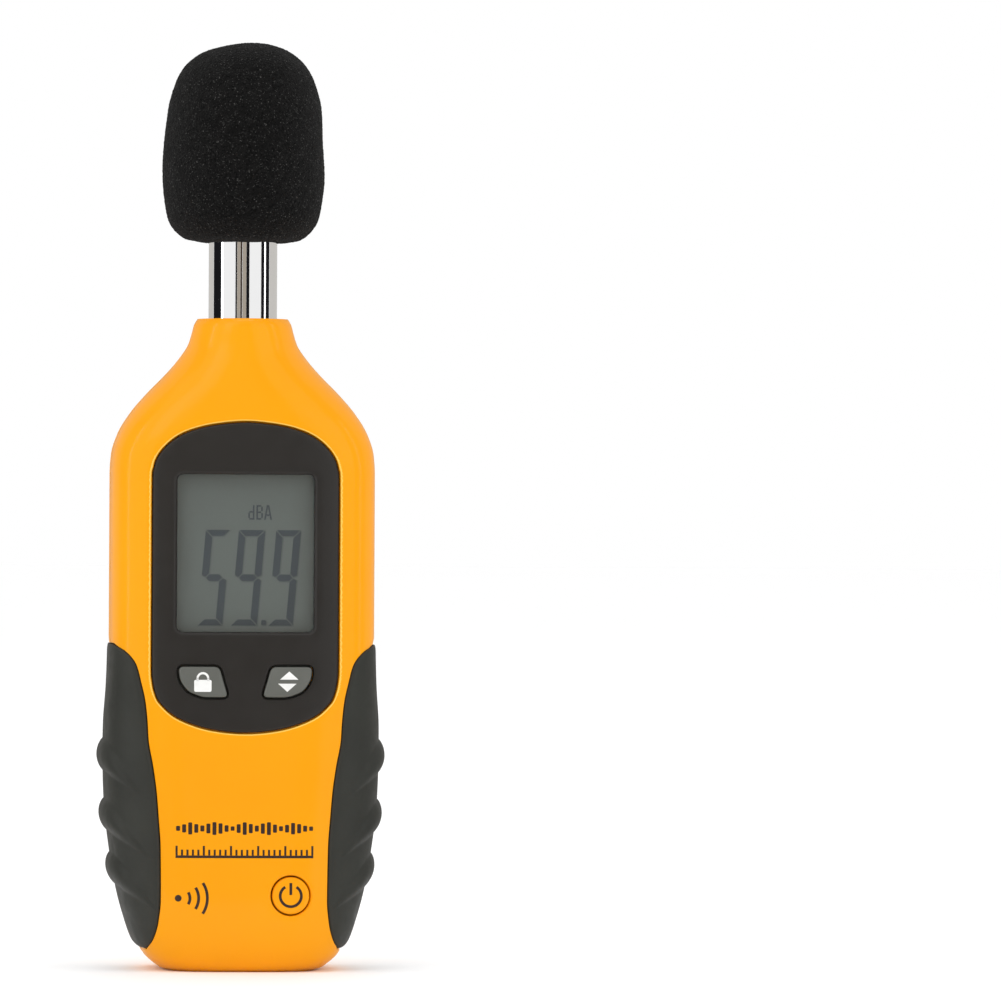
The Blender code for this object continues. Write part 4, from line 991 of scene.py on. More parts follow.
# ---------------------------------------------------------------- grips
def ridge_form(inward, z):
    """How far the finger ridges stand out: drops that are round at the side and run down and in to a point."""
    total = np.zeros(np.shape(z))
    reach = 5.1
    for ridge in RIDGES:
        part = np.clip(inward / reach, 0, 1)
        top, low = ridge + 2.75 - 10.4 * part, ridge - 3.15 - 4.5 * part
        middle, half = (top + low) / 2, (top - low) / 2 + 1e-6
        q = np.clip(np.abs(z - middle) / half, 0, 1)
        total += 1.12 * (1 - part) ** 0.85 * (1 - q**2) ** 0.8
        # a fine lip along both creases
        for edge in (top, low):
            total += 0.17 * np.exp(-((z - edge) / 0.24) ** 2) * np.clip(1.15 - part, 0, 1) * np.clip(part * 6, 0, 1)
    return total


def grip(name, side, hand, mat):
    skin = skins[side]
    rows = 300
    zs = np.linspace(GRIP_BOTTOM, GRIP_TOP, rows)
    across = np.concatenate([[0, 0.012, 0.03], np.linspace(0.05, 0.84, 40), np.linspace(0.855, 1.0, 14)])
    low, high = [], []
    for z in zs:
        edge = min(float(grip_edge[side](z)), float(half_width(z)) - 0.15)
        s_in, s_out = skin.lay([(edge, z)])[0][0], float(skin.width(z))
        s = s_out + (s_in - s_out) * across
        zz = np.full(len(s), z)
        base = skin.at(hand * s, zz)
        away_in = (1 - across) * (s_out - s_in)  # distance to the inner edge
        inward = float(half_width(z)) - np.abs(base[:, 0])
        proud = grip_proud(zz) * (1 - across) + 0.5 * across + ridge_form(inward, zz)
        rim = np.minimum(1.0, np.minimum(np.minimum(away_in / 1.3, (z - GRIP_BOTTOM) / 1.5 + 0.03),
                                         (GRIP_TOP - z) / 1.5 + 0.03))
        from_seam = across * (s_out - s_in)
        crack = np.clip(1 - from_seam / 0.3, 0, 1)
        out = proud * np.sqrt(np.maximum(0, 1 - (1 - rim) ** 2)) - 0.18 * crack**2
        high.append(skin.at(hand * s, zz, out))
        low.append(skin.at(hand * s, zz, -0.9))
    n = len(across)
    points = list(np.concatenate(high))
    faces = [(i * n + k, i * n + k + 1, (i + 1) * n + k + 1, (i + 1) * n + k)
             for i in range(rows - 1) for k in range(n - 1)]
    # the under side needs the rim and a few columns only
    some = [0, n // 4, n // 2, 3 * n // 4, n - 1]
    under = {}

    def below(i, k):
        if (i, k) not in under:
            under[(i, k)] = len(points)
            points.append(low[i][k])
        return under[(i, k)]

    steps = list(range(0, rows - 1, 6)) + [rows - 1]
    for first, last in zip(steps, steps[1:]):
        for c0, c1 in zip(some, some[1:]):
            left = [below(i, c0) for i in range(first, last + 1)] if c0 == 0 else [below(first, c0), below(last, c0)]
            right = [below(i, c1) for i in range(first, last + 1)] if c1 == n - 1 else [below(first, c1), below(last, c1)]
            low_edge = [below(first, c) for c in range(c0 + 1, c1)] if first == 0 else []
            top_edge = [below(last, c) for c in range(c0 + 1, c1)] if last == rows - 1 else []
            faces.append(left + top_edge + right[::-1] + low_edge[::-1])
    border = [(0, k) for k in range(n)] + [(i, n - 1) for i in range(1, rows)]
    border += [(rows - 1, k) for k in range(n - 2, -1, -1)] + [(i, 0) for i in range(rows - 2, 0, -1)]
    for u, v in zip(border, border[1:] + border[:1]):
        faces.append((u[0] * n + u[1], v[0] * n + v[1], below(*v), below(*u)))
    return make(name, points, faces, mat, 55)


for side, half in ((-1, "front"), (1, "rear")):
    for hand, word in ((-1, "left"), (1, "right")):
        settle(grip(f"grip_{half}_{word}", side, hand, RUBBER), "casing", "grip", f"{half}_grip_{word}")


# ---------------------------------------------------------------- display
skin = skins[-1]


def sheet_of(skin, out):
    """A face over (x, z) that follows the form at a distance."""
    return lambda p, sink: np.stack([p[:, 0], skin.depth(p[:, 0], p[:, 1], out - sink), p[:, 1]], axis=1)


def plain_grid(x0, x1, z0, z1, step):
    out = []
    for k, z in enumerate(np.arange(z0 + step / 2, z1, step)):
        out += [(x + step / 2 * (k % 2), z) for x in np.arange(x0, x1, step)]
    return out


def edge_line(outline, radius):
    """A closed outline's rounded edge, for woven's lines: the line and its rings."""
    rings = [grown(outline, -radius * k) for k, _ in ROUND[1:]]
    return (outline + outline[:1], radius, [ring + ring[:1] for ring in rings])


outline = dense(bezel_outline, 0.7)
window_outline = dense(rounded(*WINDOW, 1.1, 8), 0.8)
bezel = woven("display_surround", outline, sheet_of(skin, -BEZEL_SET_IN), sheet_of(skin, -(BEZEL_SET_IN + BEZEL_THICK)),
              plain_grid(-17.5, 17.5, 44, 101.5, 1.2),
              through=[(window_outline, 0.85, 0), (dense(grown(key_outline, 0.35), 0.6), 0.28, 0),
                       (dense(grown(mirrored(key_outline), 0.35), 0.6), 0.28, 0)],
              lines=[edge_line(outline, 0.4)], mats=PANEL)
settle(bezel, "casing", "display_panel", "display_bezel")

pane = pressed("display_pane", rounded(-13.6, 13.6, 61.65, 92.8, 0.8, 8),
               [(-0.12, -12.7), (0, -12.58), (0, -11.92), (-0.12, -11.8)], CLEAR)
settle(pane, "casing", "window", "display_window")

# the liquid crystal's marks: seven-segment figures leaning to the right
LCD_FACE = -11.45


def on_lcd(x, z, out):
    return np.stack([x, np.full(len(x), LCD_FACE) - out, z], axis=1)


def figure(left, right, bottom, top, lit, thick=1.3, lean=0.085):
    """Seven segments: lit names those that show. a is the top, then clockwise, g the middle."""
    mid = (top + bottom) / 2
    t, f, gap = thick, thick * 0.85, 0.13
    half = f * 0.56
    shapes = {
        "a": [(left + gap, top), (right - gap, top), (right - gap - f, top - f), (left + gap + f, top - f)],
        "d": [(left + gap, bottom), (right - gap, bottom), (right - gap - f, bottom + f), (left + gap + f, bottom + f)],
        "g": [(left + t * 0.62, mid), (left + t * 0.62 + half, mid + half), (right - t * 0.62 - half, mid + half),
              (right - t * 0.62, mid), (right - t * 0.62 - half, mid - half), (left + t * 0.62 + half, mid - half)],
        "f": [(left, top - gap), (left + t, top - gap - t), (left + t, mid + gap + half), (left + t * 0.5, mid + gap),
              (left, mid + gap + 0.35)],
        "e": [(left, bottom + gap), (left + t, bottom + gap + t), (left + t, mid - gap - half),
              (left + t * 0.5, mid - gap), (left, mid - gap - 0.35)],
        "b": [(right, top - gap), (right - t, top - gap - t), (right - t, mid + gap + half), (right - t * 0.5, mid + gap),
              (right, mid + gap + 0.35)],
        "c": [(right, bottom + gap), (right - t, bottom + gap + t), (right - t, mid - gap - half),
              (right - t * 0.5, mid - gap), (right, mid - gap - 0.35)],
    }
    return [[(x + lean * (z - mid), z) for x, z in shapes[k]] for k in lit]


BOTTOM, TOP = 63.9, 81.5
marks = []
for left, right, lit in ((-8.0, -3.4, "afgcd"), (-1.9, 3.0, "afgbcd"), (5.0, 9.6, "afgbcd")):
    marks += figure(left, right, BOTTOM, TOP, lit)
marks.append(rounded(3.05, 3.95, 64.0, 64.9, 0.2, 3))
# the unit, in short bars


def bars(*lines, width=0.3):
    out = []
    for (xa, za), (xb, zb) in lines:
        length = math.hypot(xb - xa, zb - za)
        ux, uz = (xb - xa) / length, (zb - za) / length
        nx, nz = -uz * width / 2, ux * width / 2
        out.append([(xa + nx, za + nz), (xa - nx, za - nz), (xb - nx, zb - nz), (xb + nx, zb + nz)])
    return out


unit = bars(((1.55, 83.4), (1.55, 86.1)), ((0.75, 84.85), (1.4, 84.85)), ((0.75, 83.55), (1.4, 83.55)),
            ((0.72, 83.7), (0.72, 84.7)))
unit += bars(((2.2, 83.4), (2.2, 86.1)), ((2.35, 85.95), (2.95, 85.95)), ((2.35, 84.78), (2.95, 84.78)),
             ((2.35, 83.55), (2.95, 83.55)), ((3.08, 85.0), (3.08, 85.8)), ((3.1, 83.7), (3.1, 84.6)))
unit += bars(((3.62, 83.4), (4.12, 86.1)), ((4.78, 83.4), (4.28, 86.1)), ((3.95, 84.25), (4.45, 84.25)))
settle(decal("display_figures", marks + unit, on_lcd, SEGMENT, 0.04, 50), "casing", "lcd")
# each mark's shadow on the reflector behind it is painted: a faint darker copy, grown a little and set down and to the
# right, laid just under the marks
shadow = [[(x + 0.1, z - 0.1) for x, z in grown(clean(m), 0.14)] for m in marks]
settle(decal("display_shadows", shadow, on_lcd, LCD_PAINTED_SHADOW, 0.015, 50), "casing", "lcd")


# ---------------------------------------------------------------- keys
def key_form(name, outline, body, node, mat):
    levels = [(1.0, -11.4), (1.0, -11.9), (0.9, -12.0), (0, -12.0), (0, -14.8), (-0.03, -14.95), (-0.1, -15.07),
              (-0.2, -15.15), (-0.34, -15.2)]
    return settle(pressed(name, outline, levels, mat, "Y", 40), body, "key", node)


key_form("key_hold", key_outline, "hold_key", "hold_button", KEY_GREY)
key_form("key_maxmin", mirrored(key_outline), "maxmin_key", "maxmin_button", KEY_GREY)


def on_key(x, z, out):
    return np.stack([x, np.full(len(x), -15.2) - out, z], axis=1)


# a padlock for hold, two arrowheads for highest and lowest
lock = [rounded(-9.45, -6.25, 51.75, 53.95, 0.28, 4)]
lock += stroke(arc_line(-7.85, 54.2, 0.98, 180, 0, 18), 0.4)
lock += [rounded(-9.03, -8.63, 53.85, 54.3, 0.02, 2), rounded(-7.07, -6.67, 53.85, 54.3, 0.02, 2)]
settle(decal("legend_hold", lock, on_key, WHITE_INK, 0.02), "hold_key", "label")
arrows = [[(6.35, 54.05), (8.05, 55.55), (9.75, 54.05)], [(6.0, 53.3), (9.4, 53.3), (7.7, 51.8)]]
settle(decal("legend_maxmin", arrows, on_key, WHITE_INK, 0.02), "maxmin_key", "label")

face = float(skin.depth(np.array([POWER_X]), np.array([POWER_Z]))[0])
profile = [(0, face + 0.02), (2.6, face + 0.03), (3.0, face + 0.06), (3.2, face + 0.12), (3.36, face + 0.25),
           (3.43, face + 0.42), (3.45, face + 0.65), (3.45, -11.6), (4.5, -11.6), (4.5, -11.1), (0, -11.1)]
power = turned("key_power", profile, 72, "Y", (POWER_X, 0, POWER_Z), ORANGE)
settle(power, "power_key", "casing", "power_button")


def on_power(x, z, out):
    return np.stack([x, np.full(len(x), face + 0.03) - out, z], axis=1)


ring = stroke(arc_line(POWER_X, POWER_Z - 0.05, 1.95, 122, 418, 44), 0.5)
bar = stroke([(POWER_X, POWER_Z + 0.15), (POWER_X, POWER_Z + 2.35)], 0.5)
settle(decal("legend_power", ring + bar, on_power, INK, 0.03), "power_key", "label")


# ---------------------------------------------------------------- printed marks on the front
def on_front(x, z, out):
    return np.stack([x, skins[-1].depth(x, z, 0.0) - out, z], axis=1)


prints = []
heights = [0.9, 1.5, 2.2, 1.6, 1.1, 1.8, 2.35, 1.9, 1.2, 0.8, 1.6, 2.3, 1.7, 1.1, 1.9, 2.35, 1.5, 0.9, 1.4, 2.1, 1.7,
           1.1, 0.8]
for i, h in enumerate(heights):
    x = -12.25 + 24.5 * i / (len(heights) - 1)
    prints.append(rounded(x - 0.36, x + 0.36, 26.65 - h / 2, 26.65 + h / 2, 0.15, 3))
for i in range(26):
    x = -12.5 + i
    tall = 1.75 if i % 5 == 0 else 1.05
    prints.append([(x - 0.19, 21.7), (x + 0.19, 21.7), (x + 0.19, 21.7 + tall), (x - 0.19, 21.7 + tall)])
prints.append([(-12.69, 21.2), (12.69, 21.2), (12.69, 21.68), (-12.69, 21.68)])
# a sound source with three waves
prints.append(circle(-12.15, 13.8, 0.62, 24))
for r in (2.0, 3.6, 5.2):
    prints += stroke(arc_line(-12.0, 13.8, r, -33, 33, 16), 0.52)
settle(decal("front_print", prints, on_front, INK, 0.02), "casing", "label")

# ---------------------------------------------------------------- microphone
tube = turned("microphone_tube", [(TUBE_BORE_R, TUBE_BOTTOM)] + [(TUBE_R - 0.1, TUBE_BOTTOM), (TUBE_R, TUBE_BOTTOM + 0.1)]
              + [(TUBE_R, z) for z in np.linspace(106, 158, 14)] + arc(TUBE_R - 0.35, TUBE_TOP - 0.35, 0.35, 0, 90)
              + [(TUBE_BORE_R + 0.1, TUBE_TOP), (TUBE_BORE_R, TUBE_TOP - 0.1)], 128, mats=CHROME)
settle(tube, "casing", "chrome", "mic_tube")
grille = turned("microphone_grille", [(0, 159.0), (5.3, 159.0), (5.3, 159.95)] + arc(4.95, 159.95, 0.35, 0, 90, 5)
                + [(4.3, 160.22), (0, 160.16)], 64, mats=STEEL)
for hx, hy in circle(0, 0, 3.0, 6) + [(0, 0)]:
    combine(grille, turned("sound hole", [(0, 158), (0.8, 158), (0.8, 162), (0, 162)], 24, "Z", (hx, hy, 0)), "DIFFERENCE")
one_material(grille, STEEL)
shade(grille, 35)
settle(grille, "casing", "steel", "mic_grille")

# ---------------------------------------------------------------- foam windscreen
FOAM = [(8.8, 134.9), (11.4, 135.7), (13.8, 138.4), (14.8, 142.6), (15.1, 148), (14.6, 157.6), (13.8, 162.2),
        (11.9, 167.0), (8.6, 170.2), (4.4, 171.7)]


def foam_profile(count):
    """The outer line from the bore's mouth over the shoulder to the top, at even distances, as (radius, height)."""
    pts = np.array([(FOAM_BORE_R + 0.2, 134.95), (7.4, 134.75)] + FOAM + [(0.0, 172.0)], float)
    pts[2] = (9.0, 134.95)
    pad = np.vstack([2 * pts[0] - pts[1], pts, [-pts[-2][0], pts[-2][1]]])
    fine = []
    for i in range(1, len(pad) - 2):
        p0, p1, p2, p3 = pad[i - 1 : i + 3]
        for t in np.linspace(0, 1, 40, endpoint=False):
            fine.append(0.5 * (2 * p1 + (p2 - p0) * t + (2 * p0 - 5 * p1 + 4 * p2 - p3) * t**2
                               + (3 * p1 - p0 - 3 * p2 + p3) * t**3))
    fine.append(pts[-1])
    fine = np.array(fine)
    run = np.concatenate([[0], np.cumsum(np.hypot(*np.diff(fine, axis=0).T))])
    at = np.linspace(0, run[-1], count)
    return np.stack([np.interp(at, run, fine[:, 0]), np.interp(at, run, fine[:, 1])], axis=1)


def foam_body():
    rows, count = ((235, 340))
    line = foam_profile(rows)
    points, faces = [], []
    cell = 1 / 0.62
    for k, (r, h) in enumerate(line[:-1]):
        before, after = line[max(k - 1, 0)], line[min(k + 1, rows - 1)]
        tangent = after - before
        tangent /= np.hypot(*tangent)
        nr, nz = tangent[1], -tangent[0]
        for i in range(count):
            a = 2 * math.pi * i / count
            c, s = math.cos(a), math.sin(a)
            p = Vector((r * c, r * s, h))
            soft = noise.noise(p * 0.11 + Vector((3, 7, 1))) * 0.28
            d = noise.voronoi(p * cell)[0]
            pore = (d[1] - d[0])
            small = noise.noise(p * 3.1)
            push = soft + 0.16 * min(pore * 1.6, 0.55) - 0.17 + 0.07 * small
            push *= min(1.0, k / 6 + 0.2)
            rr, hh = r + nr * push, h + nz * push
            x = rr * c
            # the free end leans a little to +x and its -x shoulder sits lower
            lift = max(0.0, (hh - 146) / 26)
            x += 0.55 * lift**2
            hh -= max(0.0, -c) * 0.55 * lift**2 * (r / 15)
            points.append((x, rr * s, min(hh, 172.2)))
    top = len(points)
    points.append((0.55, 0, 171.95))
    n = rows - 1
    for k in range(n - 1):
        for i in range(count):
            j = (i + 1) % count
            faces.append((k * count + i, k * count + j, (k + 1) * count + j, (k + 1) * count + i))
    for i in range(count):
        faces.append(((n - 1) * count + i, (n - 1) * count + (i + 1) % count, top))
    # the bore
    ring0 = list(range(count))
    for r, h in [(FOAM_BORE_R, 135.3), (FOAM_BORE_R, 142), (FOAM_BORE_R, 150), (FOAM_BORE_R, 158),
                 (FOAM_BORE_R, 160.5), (FOAM_BORE_R - 0.9, FOAM_BORE_TOP)]:
        start = len(points)
        for i in range(count):
            a = 2 * math.pi * i / count
            points.append((r * math.cos(a), r * math.sin(a), h))
        ring1 = list(range(start, start + count))
        for i in range(count):
            j = (i + 1) % count
            faces.append((ring1[i], ring1[j], ring0[j], ring0[i]))
        ring0 = ring1
    faces.append(tuple(ring0))
    return make("windscreen_foam", points, faces, FOAM_MAT, 180)


foam = foam_body()
settle(foam, "foam_cap", "foam", "windscreen")

# ---------------------------------------------------------------- tripod bush with its thread
skin = skins[1]
profile = [(BUSH_BORE_R, 5.2), (BUSH_R, 5.2)] + [(BUSH_R, 14.55)] + arc(BUSH_R - 0.3, BUSH_BACK - 0.3, 0.3, 0, 90, 5)
profile += [(3.75, BUSH_BACK), (3.55, BUSH_BACK - 0.05), (BUSH_BORE_R, BUSH_BACK - 0.45)]
bush = turned("tripod_socket_bush", profile, 96, "Y", (0, 0, BUSH_Z), BRASS)
settle(bush, "casing", "brass", "tripod_bush")
rings, pitch, per = [], 1.27, 40
steps = int((14.35 - 5.9) / pitch * per)
for k in range(steps + 1):
    a = 2 * math.pi * k / per
    y = 5.9 + pitch * k / per
    end = min(1.0, k / 12 + 0.05, (steps - k) / 12 + 0.05)
    rings.append([(r * math.cos(a), y + dy, BUSH_Z + r * math.sin(a)) for r, dy in
                  ((BUSH_BORE_R - 0.03, -0.5 * end), (BUSH_BORE_R - 0.55 * end, -0.09), (BUSH_BORE_R - 0.55 * end, 0.09),
                   (BUSH_BORE_R - 0.03, 0.5 * end))])
settle(rings_solid("tripod_thread", rings, BRASS, 25), "casing", "brass")

# ---------------------------------------------------------------- battery door and labels
label_outline = dense(rounded(-12.5, 12.5, 24.0, 56.0, 1.0, 6), 1.0)
outline = door_outline
door = woven("door_panel", outline, sheet_of(skin, -DOOR_SET_IN), sheet_of(skin, -(DOOR_SET_IN + DOOR_THICK)),
             plain_grid(-18, 18, 9, 75, 1.6),
             pockets=[(dense(grown(label_outline, 0.14), 0.9), 3, sheet_of(skin, -0.35), 0.14, 0)],
             lines=[edge_line(outline, 0.4)], mats=ORANGE)
for lo, hi in ((-12.0, -6.0), (6.0, 12.0)):
    combine(door, box("tongue", lo, hi, 11.75, 12.75, 8.0, 11.4, edge=0.2), "UNION")
    combine(door, box("tongue root", lo + 0.4, hi - 0.4, 12.2, 13.6, 10.2, 11.2), "UNION")
    combine(door, box("rib", lo + 2.6, hi - 2.6, 12.3, 13.45, 11.0, 20.0, edge=0.2), "UNION")
combine(door, box("latch", -2.9, 2.9, 10.0, 14.2, 71.75, 72.85, edge=0.3), "UNION")
combine(door, box("latch nose", -2.9, 2.9, 10.0, 10.9, 71.9, 73.0, edge=0.25), "UNION")
one_material(door, ORANGE)
shade(door, 35)
settle(door, "door", "casing", "battery_door")


def label_piece(name, outline, grid, body, node):
    obj = woven(name, outline, sheet_of(skin, 0.03), sheet_of(skin, -0.25), grid, lines=[edge_line(outline, 0.07)],
                mats=LABEL, clear=0.2)
    return settle(obj, body, "label", node)


label_piece("label_serial", serial_outline, plain_grid(-16, 16, 76, 83, 1.3), "casing", "serial_label")
label_piece("label_door", label_outline, plain_grid(-13, 13, 23, 57, 1.6), "door", "door_label")


def on_label(x, z, out):
    return np.stack([x, skins[1].depth(x, z, 0.03) + out, z], axis=1)


def frame_marks(x0, x1, z0, z1, w):
    return [[(x0, z0), (x1, z0), (x1, z0 + w), (x0, z0 + w)], [(x0, z1 - w), (x1, z1 - w), (x1, z1), (x0, z1)],
            [(x0, z0 + w), (x0 + w, z0 + w), (x0 + w, z1 - w), (x0, z1 - w)],
            [(x1 - w, z0 + w), (x1, z0 + w), (x1, z1 - w), (x1 - w, z1 - w)]]


dashes = []
for i in range(13):
    x = -11.2 + 22.4 * i / 12
    wide = 0.55 if i % 3 else 0.85
    dashes.append([(x - wide, 78.7), (x + wide, 78.7), (x + wide, 80.3), (x - wide, 80.3)])
settle(decal("marks_serial", dashes, on_label, GREY_INK, 0.02), "casing", "label")
lines = frame_marks(-11.6, 11.6, 24.9, 55.1, 0.25)
for i, (a, b) in enumerate(((-9.5, 9.5), (-6.5, 9.5), (-8.2, 9.5), (-3.0, 9.5))):
    z = 50.5 - 3.4 * i
    lines.append([(a, z), (b, z), (b, z + 0.9), (a, z + 0.9)])
lines += frame_marks(1.5, 9.5, 27.5, 35.0, 0.3)
for i in range(6):
    z = 27.6 + 1.3 * i
    lines.append([(-9.5, z), (-1.2, z), (-1.2, z + 0.35), (-9.5, z + 0.35)])
settle(decal("marks_door", lines, on_label, GREY_INK, 0.02), "door", "label")


# ---------------------------------------------------------------- screws that show
def screw(name, node, x, z, head_r, under, top, tip, side=1):
    s = 1 if top > under else -1
    profile = [(0, tip), (0.5, tip + s * 0.5), (1.05, tip + s * 1.2), (1.05, under), (head_r - 0.15, under),
               (head_r, under + s * 0.18), (head_r * 0.96, under + s * 0.5), (head_r * 0.78, top - s * 0.22),
               (head_r * 0.5, top - s * 0.05), (0, top)]
    obj = turned(name, profile, 48, "Y", (x, 0, z), STEEL)
    for a, b in ((1.25, 0.26), (0.26, 1.25)):
        combine(obj, box("cross", x - a, x + a, min(top - s * 0.75, top + s * 0.5), max(top - s * 0.75, top + s * 0.5),
                         z - b, z + b), "DIFFERENCE")
    one_material(obj, STEEL)
    shade(obj, 35)
    return settle(obj, "casing", "steel", node)


screw("screw_case_left", "case_screw_1", -14.3, 103.3, 2.2, 6.8, 8.3, -7.9)
screw("screw_case_right", "case_screw_2", 14.3, 103.3, 2.2, 6.8, 8.3, -7.9)
screw("screw_case_bay", "case_screw_3", -8.6, 15.5, 2.1, -5.9, -4.75, -12.0)

# ---------------------------------------------------------------- battery, snap connector and leads
x0, x1, y0, y1, z0, z1 = BATTERY
outline = rounded(x0, x1, y0, y1, 2.2, 8)
cell = pressed("battery_cell", outline,
               [(-0.5, z0), (-0.12, z0 + 0.12), (0, z0 + 0.5), (0, z0 + 9.0), (0, z0 + 9.01), (0, z1 - 0.9), (-0.1, z1 - 0.3),
                (-0.35, z1), (-0.75, z1), (-0.85, z1 - 0.35), (-1.2, z1 - 0.38)], (JACKET, JACKET_BAND), "Z")
for poly in cell.data.polygons:
    if poly.center.z < (z0 + 9.005) * MM or poly.center.z > (z1 - 0.5) * MM:
        poly.material_index = 1
settle(cell, "casing", "battery_jacket", "battery")
middle = (y0 + y1) / 2
stud = turned("battery_stud_contact", [(0, 60.0), (2.9, 60.0), (2.9, 60.25), (2.55, 60.5), (2.5, 61.2), (2.75, 61.8),
                                       (2.78, 62.2), (2.55, 62.5), (2.1, 62.6), (0, 62.6)], 48, "Z",
              (-TERMINAL_X, middle, 0), NICKEL)
settle(stud, "casing", "steel", "battery_stud")
socket = turned("battery_socket_contact", [(3.35, 60.0), (4.1, 60.0), (4.05, 60.8), (4.2, 61.6), (4.3, 62.5), (4.15, 62.6),
                                           (3.9, 62.45), (3.6, 61.6), (3.4, 60.8)], 6, "Z", (TERMINAL_X, middle, 0), NICKEL,
                30)
settle(socket, "casing", "steel", "battery_socket")

snap_outline = rounded(-13.0, 13.0, middle - 6.2, middle + 6.2, 6.1, 16)
snap = pressed("snap_plate", snap_outline,
               [(-0.5, 63.2), (-0.12, 63.32), (0, 63.6), (0, 65.1), (-0.15, 65.55), (-0.55, 65.88), (-1.1, 66.0)], VINYL,
               "Z")
settle(snap, "casing", "black_plastic", "snap_connector")
plug = turned("snap_plug_contact", [(0, 60.32), (2.3, 60.3), (2.6, 60.45), (2.78, 60.8), (2.55, 61.5), (2.55, 62.4),
                                    (2.9, 62.6), (2.9, 62.9), (0, 62.9)], 48, "Z", (TERMINAL_X, middle, 0), NICKEL)
settle(plug, "casing", "steel", "snap_stud")
claw = turned("snap_claw_contact", [(3.55, 62.9), (4.1, 62.9), (4.1, 62.2), (4.2, 61.2), (4.3, 60.4), (4.15, 60.3),
                                    (3.9, 60.45), (3.7, 61.2), (3.5, 62.2)], 6, "Z", (-TERMINAL_X, middle, 0), NICKEL, 30)
settle(claw, "casing", "steel", "snap_socket")
RED_ROUTE = [(9.6, 2.0, 66.15), (9.5, 1.8, 67.3), (8.3, 0.2, 68.1), (6.3, -2.2, 68.7), (5.9, -2.6, 70.6),
             (7.2, -3.2, 73.0), (9.6, -4.1, 75.6), (10.2, -4.9, 76.2), (10.2, -5.9, 76.3)]
BLACK_ROUTE = [(-9.6, 2.0, 66.15), (-9.4, 1.8, 67.3), (-6.5, 0.4, 68.2), (-1.5, -1.2, 68.25), (2.6, -2.3, 68.6),
               (3.5, -2.6, 70.6), (4.2, -3.3, 73.0), (5.6, -4.1, 75.0), (6.2, -4.9, 75.6), (6.2, -5.9, 75.7)]
settle(swept("lead_red", RED_ROUTE, 0.65, RED), "casing", "red_lead", "battery_lead_red")
settle(swept("lead_black", BLACK_ROUTE, 0.65, BLACK_LEAD), "casing", "black_lead", "battery_lead_black")
pad = box("pad_battery", BAY_HALF_WIDTH - 0.35, BAY_HALF_WIDTH + 1.1, 2.3, 7.7, 24.3, 45.7, FOAM_PAD, 0.3)
settle(pad, "casing", "pad", "battery_pad")

# ---------------------------------------------------------------- the pieces that stay as they are, with better finishes
KEPT = {
    "lcd_panel": LCD_MAT, "lcd_frame": WHITE, "backlight": WHITE, "contact_strip": STRIP, "main_board": BOARD,
    "controller_chip": BLACK, "preamplifier_chip": BLACK, "filter_capacitor": CAN, "crystal": CAN,
    "board_screw_1": STEEL, "board_screw_2": STEEL, "board_screw_3": STEEL, "board_screw_4": STEEL,
    "hold_switch": BLACK, "maxmin_switch": BLACK, "power_switch": BLACK, "hold_switch_plunger": WHITE,
    "maxmin_switch_plunger": WHITE, "power_switch_plunger": WHITE, "tube_collar": BLACK, "mic_holder": RUBBER,
    "mic_capsule": CAN, "mic_lead": CORD_BLACK,
}
for node, mat in KEPT.items():
    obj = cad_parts[node]
    if obj.data.materials:
        for i in range(len(obj.data.materials)):
            obj.data.materials[i] = mat
    else:
        obj.data.materials.append(mat)

# ---------------------------------------------------------------- floor, light and camera


def plane(name, corners, mat):
    mesh = bpy.data.meshes.new(name)
    mesh.from_pydata(corners, [], [tuple(range(len(corners)))])
    obj = bpy.data.objects.new(name, mesh)
    bpy.context.scene.collection.objects.link(obj)
    obj.data.materials.append(mat)
    return obj


def floor_material():
    mat = bpy.data.materials.new("floor")
    mat.use_nodes = True
    shader = mat.node_tree.nodes["Principled BSDF"]
    shader.inputs["Base Color"].default_value = (1, 1, 1, 1)
    shader.inputs["Roughness"].default_value = 0.9
    shader.inputs["Specular IOR Level"].default_value = 0.1
    return mat


plane("floor", [(-8, -8, 0), (8, -8, 0), (8, 8, 0), (-8, 8, 0)], floor_material())


def card(name, azimuth, wide, tint, distance=1.6, tall=2.4):
    """A card beside the set and its strip of floor, which only polished metal mirrors. Azimuth is from the front, + to
    +x."""
    mat = bpy.data.materials.new(name)
    mat.use_nodes = True
    nodes = mat.node_tree.nodes
    nodes.clear()
    glow = nodes.new("ShaderNodeEmission")
    glow.inputs["Color"].default_value = (*tint, 1)
    out = nodes.new("ShaderNodeOutputMaterial")
    mat.node_tree.links.new(glow.outputs["Emission"], out.inputs["Surface"])
    count = max(2, int(wide / 8) + 1)
    angles = [math.radians(azimuth - wide / 2 + wide * i / (count - 1)) for i in range(count)]
    far = [(distance * math.sin(a), -distance * math.cos(a)) for a in angles]
    near = [(0.09 * math.sin(a), -0.09 * math.cos(a)) for a in angles]
    for i in range(count - 1):
        upright = [(*far[i], 0), (*far[i + 1], 0), (*far[i + 1], tall), (*far[i], tall)]
        lying = [(*near[i], 0.0005), (*near[i + 1], 0.0005), (*far[i + 1], 0.0005), (*far[i], 0.0005)]
        for word, corners in (("card", upright), ("strip", lying)):
            obj = plane(f"{name}_{word}_{i}", corners, mat)
            obj.visible_camera = obj.visible_diffuse = obj.visible_shadow = obj.visible_transmission = False


# the tube mirrors at twice the angle round it, so these give it its dark and grey bands
NIGHT, EARTH, DUSK, HAZE = (0.010, 0.010, 0.012), (0.055, 0.038, 0.028), (0.42, 0.37, 0.31), (0.62, 0.60, 0.57)
for i, (azimuth, wide, tint) in enumerate((
        (-100.6, 38, NIGHT), (79, 36, NIGHT), (13.4, 10.4, NIGHT), (-25.5, 5.5, NIGHT), (-8.5, 6, EARTH),
        (-17.1, 10.6, DUSK), (1.7, 12.6, DUSK), (-145, 48, HAZE), (132, 66, HAZE), (171, 8, NIGHT), (-174, 6, EARTH))):
    card(f"set_{i}", azimuth, wide, tint)


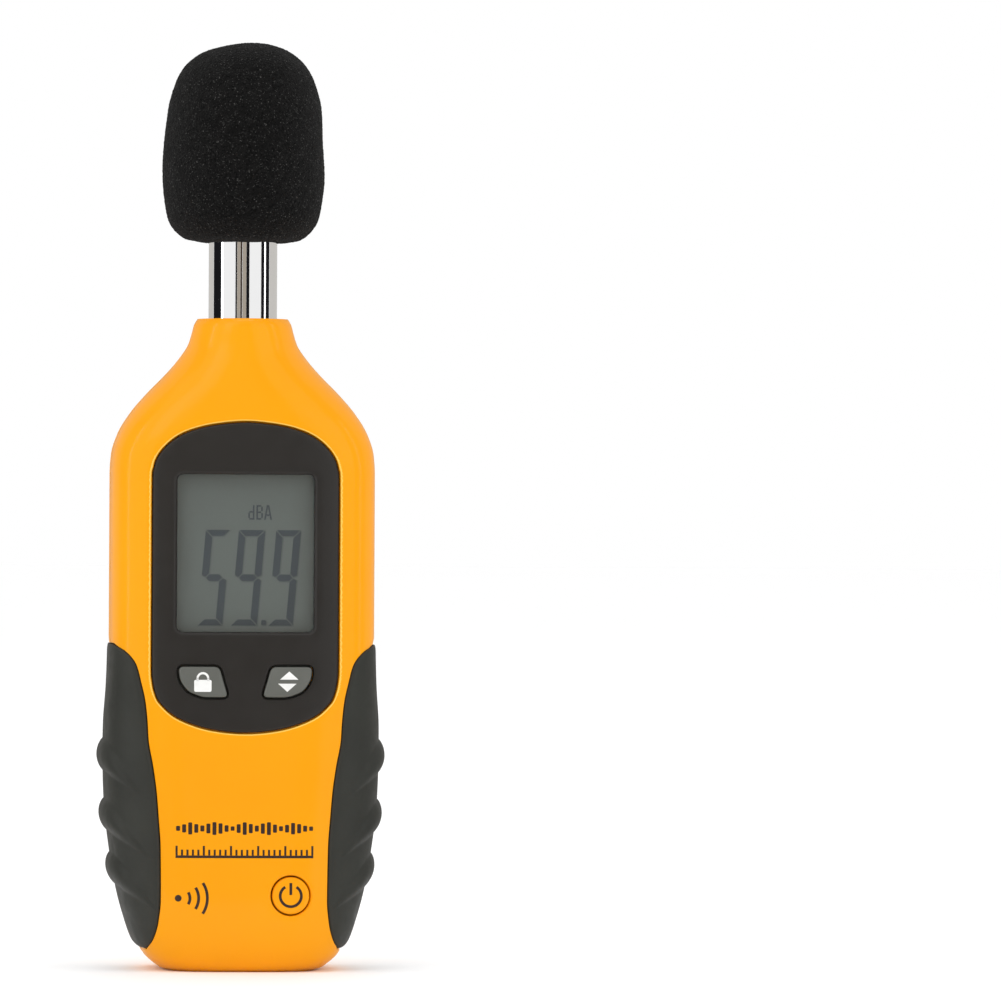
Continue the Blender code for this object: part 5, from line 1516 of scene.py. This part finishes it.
def area(name, at, to, size, power, tint=(1, 1, 1)):
    data = bpy.data.lights.new(name, "AREA")
    data.shape, data.size, data.size_y, data.energy, data.color = "RECTANGLE", size[0], size[1], power, tint
    obj = bpy.data.objects.new(name, data)
    obj.location = at
    obj.rotation_mode = "QUATERNION"
    obj.rotation_quaternion = (Vector(to) - Vector(at)).to_track_quat("-Z", "Y")
    obj.visible_camera = False
    bpy.context.scene.collection.objects.link(obj)
    return obj


area("key light", (-0.9, -1.3, 1.5), (0, 0, 0.08), (1.0, 1.0), 4.2)
area("fill light", (1.2, -1.2, 0.9), (0, 0, 0.08), (1.0, 1.2), 1.4)
area("back light", (0.3, 1.5, 1.3), (0, 0, 0.08), (1.2, 1.0), 4)
area("left strip", (-1.3, -0.3, 0.5), (0, 0, 0.08), (0.15, 1.2), 1.7)
area("right strip", (1.3, -0.3, 0.5), (0, 0, 0.08), (0.15, 1.2), 1.2)
area("top strip", (0, -0.6, 1.5), (0, 0, 0.08), (0.9, 0.15), 1.5)

world = bpy.data.worlds.new("studio")
bpy.context.scene.world = world
world.use_nodes = True
back = world.node_tree.nodes["Background"]
back.inputs["Color"].default_value = (1, 1, 1, 1)
back.inputs["Strength"].default_value = 1.0

scene = bpy.context.scene
scene.view_settings.view_transform = "Standard"
scene.view_settings.look = "None"
scene.view_settings.exposure = 0.0
scene.view_settings.gamma = 1.0

DISTANCE, AZIMUTH, ROLL = 1.3, math.radians(-3.3), math.radians(0.30)
data = bpy.data.cameras.new("camera")
camera = bpy.data.objects.new("camera", data)
scene.collection.objects.link(camera)
scene.camera = camera
data.sensor_width = 36.0
data.lens = 251.5
data.shift_x = 0.2585
data.clip_start, data.clip_end = 0.01, 50
direction = Vector((math.sin(AZIMUTH), -math.cos(AZIMUTH), 0))
camera.location = direction * DISTANCE + Vector((0, 0, 0.08693))
turn = (-direction).to_track_quat("-Z", "Y").to_matrix().to_4x4()
camera.matrix_world = (Matrix.Translation(camera.location) @ Matrix.Rotation(ROLL, 4, direction) @ turn)
